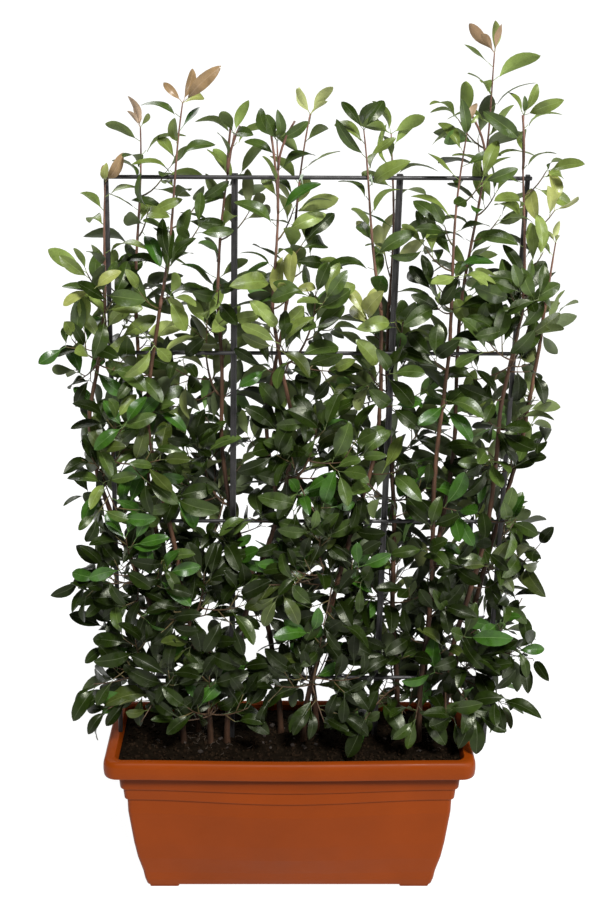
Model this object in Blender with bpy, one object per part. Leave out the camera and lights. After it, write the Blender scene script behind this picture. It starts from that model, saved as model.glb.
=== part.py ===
# A photinia shrub grown flat on a metal trellis, as a screen in a plastic trough of potting soil.
# The origin lies under the middle of the trough, on the ground. Z is up and the front faces -Y.

import math
import random

import bmesh
import bpy
from mathutils import Matrix, Vector
from mathutils.bvhtree import BVHTree

SEED = 11
GAP = 0.0003

# The trough: its rim, the two bands under it and the tapering body
POT_WIDTH = 0.805
POT_DEPTH = 0.27
POT_HEIGHT = 0.362
RIM_DROP = 0.040
RIM_BELLY = 0.006
LIP_SKIN = 0.005
THROAT_FALL = 0.004
THROAT_FLARE_X = 0.0075
THROAT_FLARE_Y = 0.001
RIM_PROFILE = (
    # depth below the top, inset along the trough, inset across it
    (LIP_SKIN, 0.007, 0.007),
    (RIM_DROP, 0.005, 0.005),
    (RIM_DROP, 0.0015, 0.0015),
    (0.028, 0.0, 0.0),
    (0.010, 0.001, 0.001),
    (0.002, 0.005, 0.005),
    (0.0, 0.012, 0.010),
    (0.0, 0.0245, 0.017),
)
WALL = 0.004
FLOOR = 0.006
CORNER_RADIUS = 0.030
CORNER_SHARE = 0.45
LEAST_RADIUS = 0.0105
BODY_INSET_X = 0.047
BODY_INSET_Y = 0.032
BASE_INSET_X = 0.0725
BASE_INSET_Y = 0.055
BODY_CURVE = ((0.0, 1.27), (0.06, 1.12), (0.15, 1.0), (0.33, 0.61), (0.50, 0.37), (0.85, 0.02), (1.0, 0.0))
BANDS = (
    # bottom, how far it stands out from the body there, and at its top
    (0.254, 0.0055, 0.0080),
    (0.283, 0.0135, 0.0165),
)
BAND_SHARE_Y = 0.75
BAND_RISE = 0.0015
BELLY = ((0.008, 0.0), (0.10, 0.012), (0.20, 0.019), (0.254, 0.020), (0.322, 0.010), (0.362, 0.006))
CORNER_STEPS = 3
LONG_STEPS = 4
FOOT_HEIGHT = 0.008
FOOT_LENGTH = 0.066
FOOT_DEPTH = 0.037
FOOT_X = 0.283
FOOT_Y = 0.0535
PAD_LENGTH = 0.120
PAD_DEPTH = 0.060

# The potting soil
SOIL_TOP = 0.344
SOIL_HEAP = 0.004
HEAP_SLOPE = 0.032
GROUND = SOIL_TOP + SOIL_HEAP

# The trellis: leaning posts with rails across their front
POSTS = (
    ("post_left", -0.3825, 0.0045, POT_HEIGHT + GAP),
    ("post_inner_left", -0.1355, 0.0062, 0.140),
    ("post_inner_right", 0.1825, 0.0062, 0.140),
    ("post_right", 0.4285, 0.0045, 0.334),
)
POST_FRONT = -0.0062
POST_LEAN = 0.0167
POST_BEVEL = 0.0015
RAIL_HEIGHTS = (0.503, 0.873, 1.237, 1.585)
RAIL_NAMES = ("rail_bottom", "rail_lower", "rail_upper", "rail_top")
RAIL_RADIUS = 0.004
RAIL_OVERHANG = 0.007
POST_ABOVE_RAIL = 0.006

# The stems: where each leaves the soil, passes the waist and ends, and the height of its top shoot.
# A stem at the front runs before the rails, the others run behind the posts.
STEMS = (
    # name, foot, waist, head, tip height, tip, at the front
    ("stem_1", -0.235, -0.405, -0.372, 1.62, -0.346, True),
    ("stem_2", -0.205, -0.312, -0.304, 1.72, -0.293, False),
    ("stem_3", -0.175, -0.285, -0.262, 1.77, -0.190, True),
    ("stem_4", -0.020, -0.145, -0.148, 1.71, -0.107, False),
    ("stem_5", -0.140, 0.000, -0.032, 1.74, -0.012, True),
    ("stem_6", 0.060, -0.045, -0.015, 1.73, 0.066, False),
    ("stem_7", 0.030, 0.170, 0.172, 1.72, 0.142, True),
    ("stem_8", 0.240, 0.205, 0.196, 1.68, 0.214, False),
    ("stem_9", 0.285, 0.305, 0.312, 1.73, 0.318, True),
    ("stem_10", 0.290, 0.335, 0.346, 1.86, 0.362, False),
    ("stem_11", 0.335, 0.430, 0.452, 1.75, 0.440, True),
    ("stem_12", 0.345, 0.482, 0.510, 1.50, 0.535, False),
)
WAIST_HEIGHT = 1.12
HEAD_HEIGHT = 1.33
FRONT_PLANE = -0.0245
BACK_PLANE = 0.0165
STEM_FOOT_RADIUS = 0.0068
STEM_HEAD_RADIUS = 0.0040
STEM_FLARE = 1.35
STEM_SWAY = 0.006
STEM_SWAY_TURNS = 11.0
STEM_POINTS = 8
COLLAR = 0.012
SWAY_RISE = 0.30

# The crown: its sides wave in and out, and rows and columns share it among the masses of leaves
CROWN_LEFT = 0.462
CROWN_RIGHT = 0.552
CROWN_WAVE = 0.022
CROWN_WAVE_LENGTH = 0.26
CROWN_BOTTOM = 0.392
CROWN_FLOOR = 0.354
CROWN_DEPTH = 0.135
ROWS = 4
COLUMNS = 5
STAGGER = 0.040
SPILL = 0.050
SHOOT_REACH = 0.115
SHOOT_DEPTH = 0.115

# Twigs and leaves, larger than life so that few of them fill the crown
TWIG_RADIUS = 0.0030
TWIG_TIP_RADIUS = 0.0019
LEAF_LENGTH = 0.116
LEAF_WIDTH = 0.063
LEAF_THICKNESS = 0.0036
SIDE_TWIGS = (7, 6, 6, 6)
SIDE_TWIG_LENGTH = 0.050
SIDE_DEPTH = 0.045
SIDE_RISE = 0.040
BARE_SHARE = 0.20
SIDE_LEAVES = (0.45, 0.80)
SIDE_LEAF_ANGLE = math.radians(58)
LEAF_SUNK = 0.003
FACING_NOISE = 0.40
SHOOT_NODE = 0.044
SHOOT_STEP = 0.12
SHOOT_SIDE_TWIG_EVERY = 4
GOLDEN_ANGLE = math.radians(137.508)

# Where a main twig leaves its stem, and the middle of the space that it makes for
TWIG_FOOT_SHARE = 0.28
TWIG_AIM_SHARE = 0.65
TWIG_AIM_DEPTH = 1.6
TWIG_FOOT_GAP = 0.0004
STRAIGHT_OUT = 0.030

# Growth is tried again with more looseness where there is no room
TRIES = 10
CLEARANCE = 0.0012
PROBE_START = 0.24
PROBE_STEP = 0.004
FOOT_FREE = 0.006
SHOOT_FREE = 0.008
OWN_FREE = 0.014
MAIN_LOOSENESS = 0.012
SIDE_LOOSENESS = 0.004
LEAF_LOOSENESS = 0.11


def clear_scene():
    for obj in list(bpy.data.objects):
        bpy.data.objects.remove(obj)


def new_collection(name):
    made = bpy.data.collections.new(name)
    bpy.context.scene.collection.children.link(made)
    return made


def new_material(name, color, roughness, metallic=0.0):
    made = bpy.data.materials.new(name)
    made.use_nodes = True
    shader = made.node_tree.nodes["Principled BSDF"]
    shader.inputs["Base Color"].default_value = (*color, 1.0)
    shader.inputs["Roughness"].default_value = roughness
    shader.inputs["Metallic"].default_value = metallic
    made.diffuse_color = (*color, 1.0)
    return made


def new_object(name, mesh, material, collection):
    made = bpy.data.objects.new(name, mesh)
    mesh.materials.clear()
    mesh.materials.append(material)
    collection.objects.link(made)
    return made


def mesh_of(name, corners, faces):
    made = bpy.data.meshes.new(name)
    made.from_pydata([tuple(c) for c in corners], [], faces)
    made.validate()
    return made


def evaluated_mesh(obj):
    bpy.context.view_layer.update()
    graph = bpy.context.evaluated_depsgraph_get()
    return bpy.data.meshes.new_from_object(obj.evaluated_get(graph))


def smooth(obj, angle=math.radians(35)):
    obj.data.shade_smooth()
    obj.data.set_sharp_from_angle(angle=angle)


def apply_boolean(obj, operation, cutters, solver="EXACT"):
    """Joins or cuts obj with every object of the collection, which is then emptied."""
    step = obj.modifiers.new(operation.title(), "BOOLEAN")
    step.operation = operation
    step.operand_type = "COLLECTION"
    step.collection = cutters
    step.solver = solver
    made = evaluated_mesh(obj)
    obj.modifiers.remove(step)
    obj.data = made
    for cutter in list(cutters.objects):
        bpy.data.objects.remove(cutter)
    return made


def bodies_of(work):
    """The corners of each separate body of a bmesh, the smallest body first."""
    left = set(work.verts)
    bodies = []
    while left:
        body, edge = [], [left.pop()]
        while edge:
            vert = edge.pop()
            body.append(vert)
            near = {e.other_vert(vert) for e in vert.link_edges} & left
            left -= near
            edge.extend(near)
        bodies.append(body)
    return sorted(bodies, key=len)


def keep_largest_body(mesh):
    """Drops loose scraps, and the inner skin of any hollow that the joining sealed."""
    work = bmesh.new()
    work.from_mesh(mesh)
    for scrap in bodies_of(work)[:-1]:
        bmesh.ops.delete(work, geom=scrap, context="VERTS")
    work.to_mesh(mesh)
    work.free()


# The trough and its soil


def along_table(table, z):
    """The value of a table of heights and values at height z, straight between its rows."""
    if z <= table[0][0]:
        return table[0][1]
    for (low, first), (high, second) in zip(table, table[1:]):
        if z <= high:
            return first + (second - first) * (z - low) / (high - low)
    return table[-1][1]


def trough_ring(z, inset_x, inset_y, belly=None):
    """A round-cornered rectangle at height z, whose long sides bulge. Corners tighten with the inset."""
    radius = max(CORNER_RADIUS - CORNER_SHARE * inset_x, LEAST_RADIUS)
    half_x, half_y = POT_WIDTH / 2 - inset_x, POT_DEPTH / 2 - inset_y
    bulge = along_table(BELLY, z) if belly is None else belly
    ring = []
    for corner in range(4):
        side_x = 1 if corner in (0, 3) else -1
        side_y = 1 if corner in (0, 1) else -1
        centre = Vector((side_x * (half_x - radius), side_y * (half_y - radius)))
        for step in range(CORNER_STEPS + 1):
            angle = (corner + step / CORNER_STEPS) * math.pi / 2
            ring.append(centre + radius * Vector((math.cos(angle), math.sin(angle))))
        if corner in (0, 2):
            start = ring[-1].copy()
            for step in range(1, LONG_STEPS):
                ring.append(Vector((start.x * (1 - 2 * step / LONG_STEPS), start.y)))
    straight = half_x - radius
    for point in ring:
        share = min(abs(point.x) / straight, 1.0)
        point.y += math.copysign(bulge * math.cos(math.pi / 2 * share) ** 2, point.y)
    return [Vector((p.x, p.y, z)) for p in ring]


def loft(name, rings):
    """A closed skin over the rings, with its first and last ring filled. Rings at the same heights match."""
    count = len(rings[0])
    corners = [point for ring in rings for point in ring]
    faces = [list(range(count))[::-1]]
    for level in range(len(rings) - 1):
        low, high = level * count, (level + 1) * count
        rising = rings[level + 1][0].z >= rings[level][0].z
        for i in range(count):
            j = (i + 1) % count
            if rising:
                faces += [(low + i, low + j, high + j), (low + i, high + j, high + i)]
            else:
                faces += [(low + i, low + j, high + i), (low + j, high + j, high + i)]
    top = (len(rings) - 1) * count
    faces.append([top + i for i in range(count)])
    return mesh_of(name, corners, faces)


def body_profile(depth=0.0):
    """Heights and insets of the body from the floor to the lower band, depth metres inside its skin."""
    bottom, top = FOOT_HEIGHT, BANDS[0][0]
    profile = []
    for share, inward in BODY_CURVE:
        z = bottom + share * (top - bottom)
        inset_x = BODY_INSET_X + inward * (BASE_INSET_X - BODY_INSET_X)
        inset_y = BODY_INSET_Y + inward * (BASE_INSET_Y - BODY_INSET_Y)
        profile.append((z, inset_x + depth, inset_y + depth))
    return profile


def band_inset(out, depth=0.0):
    """The insets of a place that stands out from the top of the body."""
    return BODY_INSET_X - out + depth, BODY_INSET_Y - BAND_SHARE_Y * out + depth


def band_profile():
    """Each band steps out over the one below it, and the last runs up under the rim and widens there."""
    tops = (BANDS[1][0], POT_HEIGHT - RIM_DROP)
    profile = []
    for (bottom, low_out, high_out), top in zip(BANDS, tops):
        profile.append((bottom + BAND_RISE, *band_inset(low_out)))
        profile.append((top, *band_inset(high_out)))
    edge_x, edge_y = profile[-1][1:]
    profile.append((POT_HEIGHT - LIP_SKIN, edge_x - THROAT_FLARE_X, edge_y))
    return profile


def inner_profile(clear=0.0):
    """The inside of the trough, from the throat under the rim down to the floor."""
    floor = FOOT_HEIGHT + FLOOR + clear
    edge_x, edge_y = band_inset(BANDS[-1][2], WALL + clear)
    low, high = POT_HEIGHT - RIM_DROP, POT_HEIGHT - THROAT_FALL
    throat = []
    for z in (high, SOIL_TOP, low):
        share = (z - low) / (high - low)
        throat.append((z, edge_x - share * THROAT_FLARE_X, edge_y - share * THROAT_FLARE_Y))
    base, *walls = body_profile(WALL + clear)
    walls = [level for level in walls if level[0] > 2 * floor]
    return [*throat, *reversed(walls), (floor, *base[1:])]


def add_foot(x, y, length, depth, cutters, material):
    """A low block under the floor, sunk half way into it."""
    height = FOOT_HEIGHT + FLOOR / 2
    bpy.ops.mesh.primitive_cube_add(size=1, location=(x, y, height / 2))
    foot = bpy.context.object
    foot.scale = (length, depth, height)
    bpy.ops.object.transform_apply(location=False, rotation=False, scale=True)
    foot.data.materials.append(material)
    for holder in list(foot.users_collection):
        holder.objects.unlink(foot)
    cutters.objects.link(foot)


def make_pot(material, parts, cutters):
    rings = [trough_ring(*level) for level in (*body_profile(), *band_profile())]
    rings += [trough_ring(POT_HEIGHT - depth, x, y, RIM_BELLY) for depth, x, y in RIM_PROFILE]
    rings += [trough_ring(*level) for level in inner_profile()]
    pot = new_object("pot", loft("pot", rings), material, parts)
    for side_x in (-1, 1):
        for side_y in (-1, 1):
            add_foot(side_x * FOOT_X, side_y * FOOT_Y, FOOT_LENGTH, FOOT_DEPTH, cutters, material)
    add_foot(0, 0, PAD_LENGTH, PAD_DEPTH, cutters, material)
    apply_boolean(pot, "UNION", cutters)
    smooth(pot)
    return pot


def make_soil(material, parts, cutters):
    """The soil fills the trough, a little heaped, with a socket for each post that is set in it."""
    levels = [level for level in reversed(inner_profile(GAP)) if level[0] <= SOIL_TOP]
    edge_x, edge_y = levels[-1][1:]
    levels.append((GROUND, edge_x + HEAP_SLOPE, edge_y + HEAP_SLOPE))
    rings = [trough_ring(*level) for level in levels]
    soil = new_object("soil", loft("soil", rings), material, parts)
    for name, foot, radius, bottom in POSTS:
        if bottom < SOIL_TOP and abs(foot) < POT_WIDTH / 2 - BODY_INSET_X:
            cut = post_mesh(foot, radius + GAP, bottom - GAP, POT_HEIGHT, 0.0)
            new_object("cut_" + name, cut, material, cutters)
    apply_boolean(soil, "DIFFERENCE", cutters)
    smooth(soil)
    return soil


# The trellis


def post_mesh(foot, radius, bottom, top, bevel):
    """A square post that leans to the right as it rises. All posts share the plane that the rails lie on."""
    work = bmesh.new()
    bmesh.ops.create_cube(work, size=1)
    for vert in work.verts:
        vert.co.z = bottom if vert.co.z < 0 else top
        vert.co.x = 2 * radius * vert.co.x + foot + POST_LEAN * vert.co.z
        vert.co.y = 2 * radius * vert.co.y + min(POST_FRONT + radius, 0.0)
    if bevel:
        bmesh.ops.bevel(work, geom=work.edges, offset=bevel, segments=1, affect="EDGES")
    mesh = bpy.data.meshes.new("post")
    work.to_mesh(mesh)
    work.free()
    return mesh


def tube_object(name, points, radii, material, parts):
    """A round tube through the points, as a mesh with its caps welded on."""
    curve = bpy.data.curves.new(name, "CURVE")
    curve.dimensions = "3D"
    curve.bevel_depth = 1.0
    curve.bevel_resolution = 2
    curve.use_fill_caps = True
    line = curve.splines.new("POLY")
    line.points.add(len(points) - 1)
    for slot, point, radius in zip(line.points, points, radii):
        slot.co = (*point, 1.0)
        slot.radius = radius
    guide = bpy.data.objects.new(name + "_line", curve)
    bpy.context.scene.collection.objects.link(guide)
    mesh = evaluated_mesh(guide)
    bpy.data.objects.remove(guide)
    work = bmesh.new()
    work.from_mesh(mesh)
    bmesh.ops.remove_doubles(work, verts=work.verts, dist=1e-5)
    bmesh.ops.recalc_face_normals(work, faces=work.faces)
    work.to_mesh(mesh)
    work.free()
    made = new_object(name, mesh, material, parts)
    smooth(made)
    return made


def make_trellis(material, parts):
    made = []
    for name, foot, radius, bottom in POSTS:
        top = RAIL_HEIGHTS[-1] + POST_ABOVE_RAIL
        mesh = post_mesh(foot, radius, bottom, top, POST_BEVEL)
        made.append(new_object(name, mesh, material, parts))
    y = POST_FRONT - GAP - RAIL_RADIUS
    for name, z in zip(RAIL_NAMES, RAIL_HEIGHTS):
        left = POSTS[0][1] + POST_LEAN * z - RAIL_OVERHANG
        right = POSTS[-1][1] + POST_LEAN * z + RAIL_OVERHANG
        points = [Vector((x, y, z)) for x in (left, right)]
        made.append(tube_object(name, points, [RAIL_RADIUS] * 2, material, parts))
    return made


# The stems


def ease(share):
    share = min(max(share, 0.0), 1.0)
    return share * share * (3 - 2 * share)


def stem_course(row, z):
    """The rule for the middle of a stem at height z: it fans out from its foot to the waist, then climbs."""
    name, foot, waist, head, top, tip, front = row
    if z < WAIST_HEIGHT:
        x = foot + (waist - foot) * ease((z - GROUND) / (WAIST_HEIGHT - GROUND))
    elif z < HEAD_HEIGHT:
        x = waist + (head - waist) * (z - WAIST_HEIGHT) / (HEAD_HEIGHT - WAIST_HEIGHT)
    else:
        x = head + (tip - head) * (z - HEAD_HEIGHT) / (top - HEAD_HEIGHT)
    sway = STEM_SWAY * ease((z - GROUND) / SWAY_RISE)
    x += sway * math.sin(STEM_SWAY_TURNS * z + 2.4 * STEMS.index(row))
    return Vector((x, FRONT_PLANE if front else BACK_PLANE, z))


def stem_heights():
    """The foot, a short upright collar, then even steps up to the head, which is cut level."""
    collar = GROUND + GAP + COLLAR
    rest = STEM_POINTS - 2
    return [GROUND + GAP] + [collar + (HEAD_HEIGHT - collar) * i / rest for i in range(rest + 1)]


def stem_point(row, z):
    """The middle of the modelled stem at height z, straight between its modelled points."""
    if z >= HEAD_HEIGHT:
        return stem_course(row, z)
    heights = stem_heights()
    above = next((i for i, height in enumerate(heights) if i > 0 and height >= z))
    low, high = heights[above - 1], heights[above]
    a, b = stem_course(row, max(low, heights[1])), stem_course(row, high)
    a.z = low
    return a.lerp(b, (z - low) / (high - low))


def stem_radius(z):
    share = (z - GROUND) / (HEAD_HEIGHT - GROUND)
    return STEM_FOOT_RADIUS + (STEM_HEAD_RADIUS - STEM_FOOT_RADIUS) * share


def make_stems(material, parts):
    heights = stem_heights()
    radii = [stem_radius(z) for z in heights]
    radii[0] *= STEM_FLARE
    made = []
    for row in STEMS:
        points = [stem_point(row, z) for z in heights]
        stem = tube_object(row[0], points, radii, material, parts)
        for vert in stem.data.vertices:
            if vert.co.z > (heights[-2] + HEAD_HEIGHT) / 2:
                vert.co.z = HEAD_HEIGHT
        made.append(stem)
    return made


# Twigs and leaves, as corners and faces


def twig_shape(points, first_radius, last_radius, out=None):
    """A three-sided tapering twig through the points, whose first end is square to out where that is given."""
    corners, faces = [], []
    side = (points[1] - points[0]).orthogonal().normalized()
    for i, point in enumerate(points):
        ahead = points[min(i + 1, len(points) - 1)] - points[max(i - 1, 0)]
        if out and i == 0:
            ahead = out.copy()
        ahead.normalize()
        side = (side - side.dot(ahead) * ahead).normalized()
        share = i / (len(points) - 1)
        radius = first_radius + (last_radius - first_radius) * share
        for corner in range(3):
            turn = Matrix.Rotation(corner * 2 * math.pi / 3, 3, ahead)
            corners.append(point + radius * (turn @ side))
    for i in range(len(points) - 1):
        for corner in range(3):
            a, b = 3 * i + corner, 3 * i + (corner + 1) % 3
            faces += [(a, b, b + 3), (a, b + 3, a + 3)]
    last = len(corners) - 3
    faces += [(2, 1, 0), (last, last + 1, last + 2)]
    return corners, faces


def leaf_shape(base, along, normal, scale=1.0, start=0.0, extra=0.0):
    """An eight-faced leaf: a stretched ball of four sides, from its base to its tip, arched a little."""
    along = along.normalized()
    normal = (normal - normal.dot(along) * along).normalized()
    across = normal.cross(along)
    length, width = LEAF_LENGTH * scale, LEAF_WIDTH * scale + 2 * extra
    thick = LEAF_THICKNESS + 2 * extra
    middle = base + along * length * (0.5 + start / 2) + normal * length * 0.05
    corners = [base + along * length * start, base + along * length]
    corners += [middle + across * width / 2, middle + normal * thick / 2]
    corners += [middle - across * width / 2, middle - normal * thick / 2]
    faces = []
    for i in range(4):
        j = (i + 1) % 4
        faces += [(0, 2 + j, 2 + i), (1, 2 + i, 2 + j)]
    return corners, faces


def turned_ring(ring, axis):
    """The corners of a ring with their angles round the axis, the smallest angle first."""
    side = axis.orthogonal().normalized()
    across = axis.cross(side)
    middle = sum((place for _, place in ring), Vector()) / len(ring)
    found = []
    for number, place in ring:
        out = place - middle
        found.append((math.atan2(out.dot(across), out.dot(side)) % (2 * math.pi), number))
    first = found.index(min(found))
    return found[first:] + found[:first]


def bridge(first, second, axis):
    """Triangles that join two rings of numbered corners, which both run the same way round the axis."""
    one, two = turned_ring(first, axis), turned_ring(second, axis)
    one.append((one[0][0] + 2 * math.pi, one[0][1]))
    two.append((two[0][0] + 2 * math.pi, two[0][1]))
    i = j = 0
    faces = []
    while i < len(one) - 1 or j < len(two) - 1:
        a, b = one[i][1], two[j][1]
        if j == len(two) - 1 or (i < len(one) - 1 and one[i + 1][0] <= two[j + 1][0]):
            i += 1
            faces.append((a, one[i][1], b))
        else:
            j += 1
            faces.append((a, two[j][1], b))
    return faces


def crowned_twig(twig, leaf):
    """A twig whose open end runs on into the leaf at its tip, as one closed skin."""
    corners, faces = list(twig[0]), list(twig[1][:-1])
    first = len(corners)
    corners += leaf[0][1:]
    tip, ring = first, [first + 1 + i for i in range(4)]
    axis = (leaf[0][1] - leaf[0][0]).normalized()
    end = [(i, corners[i]) for i in range(first - 3, first)]
    faces += bridge(end, [(i, corners[i]) for i in ring], axis)
    for i in range(4):
        faces.append((tip, ring[i], ring[(i + 1) % 4]))
    return corners, faces


def tree_of(shapes):
    corners, faces = [], []
    for shape_corners, shape_faces in shapes:
        first = len(corners)
        corners += shape_corners
        faces += [tuple(first + i for i in face) for face in shape_faces]
    return BVHTree.FromPolygons(corners, faces, all_triangles=True)


def shape_of_object(obj):
    obj.data.calc_loop_triangles()
    corners = [obj.matrix_world @ v.co for v in obj.data.vertices]
    return corners, [tuple(t.vertices) for t in obj.data.loop_triangles]


def spread(points, step=PROBE_STEP):
    """Points close together along a line."""
    found = []
    for a, b in zip(points, points[1:]):
        count = max(int((b - a).length / step), 1)
        found += [a.lerp(b, i / count) for i in range(count)]
    return found + [points[-1]]


def is_clear(tree, points, distance):
    return all(tree.find_nearest(point, distance)[0] is None for point in points)


def bent_line(start, first, end, steps):
    """A line that leaves start along first and bends round to end."""
    knee = start + first.normalized() * (end - start).length * 0.45
    line = []
    for i in range(steps + 1):
        t = i / steps
        line.append((1 - t) ** 2 * start + 2 * t * (1 - t) * knee + t * t * end)
    return line


def crown_side(side, z):
    """How far the crown reaches to that side at height z."""
    wave = math.cos(2 * math.pi * (z - 0.45 - 0.09 * (side > 0)) / CROWN_WAVE_LENGTH)
    return side * ((CROWN_RIGHT if side > 0 else CROWN_LEFT) + CROWN_WAVE * wave)


class Mass:
    """One mass of leaves: what has grown so far, and the space it keeps to."""

    def __init__(self, name, low, high, rng):
        self.name, self.low, self.high, self.rng = name, Vector(low), Vector(high), rng
        self.twigs, self.leaves, self.tips = [], [], 0
        self.side_twigs = 0
        self.line = self.row = self.blocked = self.own = None

    def holds(self, point):
        left, right = crown_side(-1, point.z), crown_side(1, point.z)
        inside = all(self.low[i] <= point[i] <= self.high[i] for i in range(3))
        return inside and left - 0.01 <= point.x <= right + 0.01

    def add_twig(self, points, first_radius, last_radius, free_start, out=None):
        """Adds a twig unless it leaves the space or touches something. free_start metres of it are untested."""
        tested = spread(points)
        if not all(self.holds(p) for p in tested[1:]):
            return False
        outside = [p for p in tested if (p - points[0]).length > free_start]
        if not is_clear(self.blocked, outside, first_radius + CLEARANCE):
            return False
        away = [p for p in tested if (p - points[0]).length > OWN_FREE]
        if self.own and not is_clear(self.own, away, first_radius + CLEARANCE):
            return False
        self.twigs.append(twig_shape(points, first_radius, last_radius, out))
        self.own = tree_of(self.twigs + self.leaves)
        return True

    def add_leaf(self, base, along, normal, scale):
        shape = leaf_shape(base, along, normal, scale)
        if not all(self.holds(p) for p in shape[0][1:]):
            return False
        fat = tree_of([leaf_shape(base, along, normal, scale * 1.03, extra=CLEARANCE / 2)])
        if fat.overlap(self.blocked):
            return False
        probe = tree_of([leaf_shape(base, along, normal, scale, PROBE_START, CLEARANCE / 2)])
        if probe.overlap(self.own):
            return False
        self.leaves.append(shape)
        self.own = tree_of(self.twigs + self.leaves)
        return True

    def try_leaf(self, base, along, scale=1.0):
        """Turns the leaf a little further each time until it has room."""
        for attempt in range(TRIES):
            turned = along.normalized() + LEAF_LOOSENESS * (attempt + 1) * self.noise()
            facing = Vector((0, math.copysign(0.85, base.y), 0.50)) + FACING_NOISE * self.noise()
            if self.add_leaf(base, turned, facing, scale * (1 - 0.012 * attempt)):
                return True
        return False

    def try_tip_leaf(self, along, scale=1.0, number=-1):
        """The leaf that ends one of the twigs, by default the newest, and becomes one skin with it."""
        twig = self.twigs[number]
        end = sum(twig[0][-3:], Vector()) / 3
        if not self.try_leaf(end - along * LEAF_SUNK, along, scale):
            return
        crowned = crowned_twig(twig, self.leaves.pop())
        if not tree_of([crowned]).overlap(self.blocked):
            self.twigs[number] = crowned
            self.tips += 1
        self.own = tree_of(self.twigs + self.leaves)

    def noise(self):
        return Vector([self.rng.uniform(-1, 1) for _ in range(3)])


def grow_side_twig(mass, start, end):
    """A short twig with a leaf at its tip and leaves at both sides."""
    for attempt in range(TRIES):
        aim = start.lerp(end, 1 - 0.04 * attempt) + SIDE_LOOSENESS * attempt * mass.noise()
        if mass.add_twig([start, aim], TWIG_RADIUS * 0.8, TWIG_TIP_RADIUS, 0.0):
            break
    else:
        return
    ahead = (aim - start).normalized()
    facing = Vector((0, math.copysign(0.8, aim.y), 0.6))
    mass.try_tip_leaf(ahead)
    for number, share in enumerate(SIDE_LEAVES):
        turn = Matrix.Rotation(SIDE_LEAF_ANGLE * (-1) ** number, 3, facing)
        mass.try_leaf(start.lerp(aim, share), turn @ ahead)


def start_bush(mass, start, out, aim):
    """The main twig of a mass beside a stem, from the stem to the middle of the space."""
    for attempt in range(4 * TRIES):
        end = aim + MAIN_LOOSENESS * attempt * mass.noise()
        line = bent_line(start, out, end, 3)
        if mass.add_twig(line, TWIG_RADIUS, TWIG_TIP_RADIUS, FOOT_FREE, out):
            mass.line = line
            return True
    return False


def grow_bush(mass):
    """A leaf ends the main twig, and side twigs reach out to places spread evenly over the space."""
    line = mass.line
    mass.try_tip_leaf((line[-1] - line[-2]).normalized())
    place = spread(line, 0.002)
    place = place[int(BARE_SHARE * len(place)):]
    middle = (mass.low + mass.high) / 2
    reach = (mass.high - mass.low) / 2 - Vector((SPILL, 0, SPILL)) * 0.7
    for number in range(mass.side_twigs):
        angle = number * GOLDEN_ANGLE
        out = math.sqrt((number + 0.5) / mass.side_twigs)
        end = middle + out * Vector((reach.x * math.cos(angle), 0, reach.z * math.sin(angle)))
        end.y = line[-1].y + SIDE_DEPTH * (-1) ** number
        start = min(place, key=lambda p: (p + Vector((0, 0, SIDE_RISE)) - end).length)
        if (end - start).length < SIDE_TWIG_LENGTH:
            end = start + (end - start).normalized() * SIDE_TWIG_LENGTH
        grow_side_twig(mass, start, end)


def start_shoot(mass, row):
    """The shoot on top of a stem, which carries the stem on to its tip."""
    base = HEAD_HEIGHT + GAP
    tip = row[4] - 0.55 * LEAF_LENGTH
    steps = max(round((tip - base) / SHOOT_STEP), 2)
    mass.line = [stem_point(row, base + (tip - base) * i / steps) for i in range(steps + 1)]
    mass.row = row
    upright = Vector((0, 0, 1))
    return mass.add_twig(mass.line, STEM_HEAD_RADIUS, TWIG_TIP_RADIUS, SHOOT_FREE, upright)


def grow_shoot(mass):
    """Leaves stand round the shoot in golden-angle order up to the tip."""
    line, row = mass.line, mass.row
    mass.try_tip_leaf(Vector((0.25 * (-1) ** STEMS.index(row), 0, 1)).normalized(), 0.9)
    place = spread(line, 0.002)
    count = int((line[-1].z - line[0].z) / SHOOT_NODE)
    for number in range(count):
        share = (number + 0.6) / count
        origin = place[int(share * (len(place) - 1))]
        angle = number * GOLDEN_ANGLE + 0.8 * STEMS.index(row)
        direction = Vector((math.cos(angle), 0.75 * math.sin(angle), 0.75))
        if number % SHOOT_SIDE_TWIG_EVERY == 1 and share < 0.7:
            grow_side_twig(mass, origin, origin + direction.normalized() * SIDE_TWIG_LENGTH)
        else:
            mass.try_leaf(origin, direction, 1.0 - 0.15 * share)


def bush_names():
    """Masses by row, from the bottom, and by column, from the left."""
    rows = ("low", "middle", "high", "upper")
    columns = ("far_left", "left", "centre", "right", "far_right")
    return [[f"leaves_{row}_{column}" for column in columns] for row in rows]


def start_on_stem(aim, z):
    """Where a main twig leaves the stem nearest to its space, 0.3 mm clear of the bark."""
    row = min(STEMS, key=lambda r: abs(stem_point(r, z).x - aim.x))
    middle = stem_point(row, z)
    slope = (stem_point(row, z + 0.01) - stem_point(row, z - 0.01)).normalized()
    away = Vector((aim.x - middle.x, middle.y * 2.5, 0))
    if abs(away.x) < STRAIGHT_OUT:
        away.x = 0.0
    out = (away - away.dot(slope) * slope).normalized()
    return middle + out * (stem_radius(z) + TWIG_FOOT_GAP), out, row


def shoot_mass(row, rng):
    """The space round the shoot of one stem."""
    line_x = stem_point(row, (HEAD_HEIGHT + row[4]) / 2).x
    low = (line_x - SHOOT_REACH, -SHOOT_DEPTH, HEAD_HEIGHT)
    high = (line_x + SHOOT_REACH, SHOOT_DEPTH, row[4] + 0.012)
    return Mass(f"shoot_{STEMS.index(row) + 1}", low, high, rng)


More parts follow.
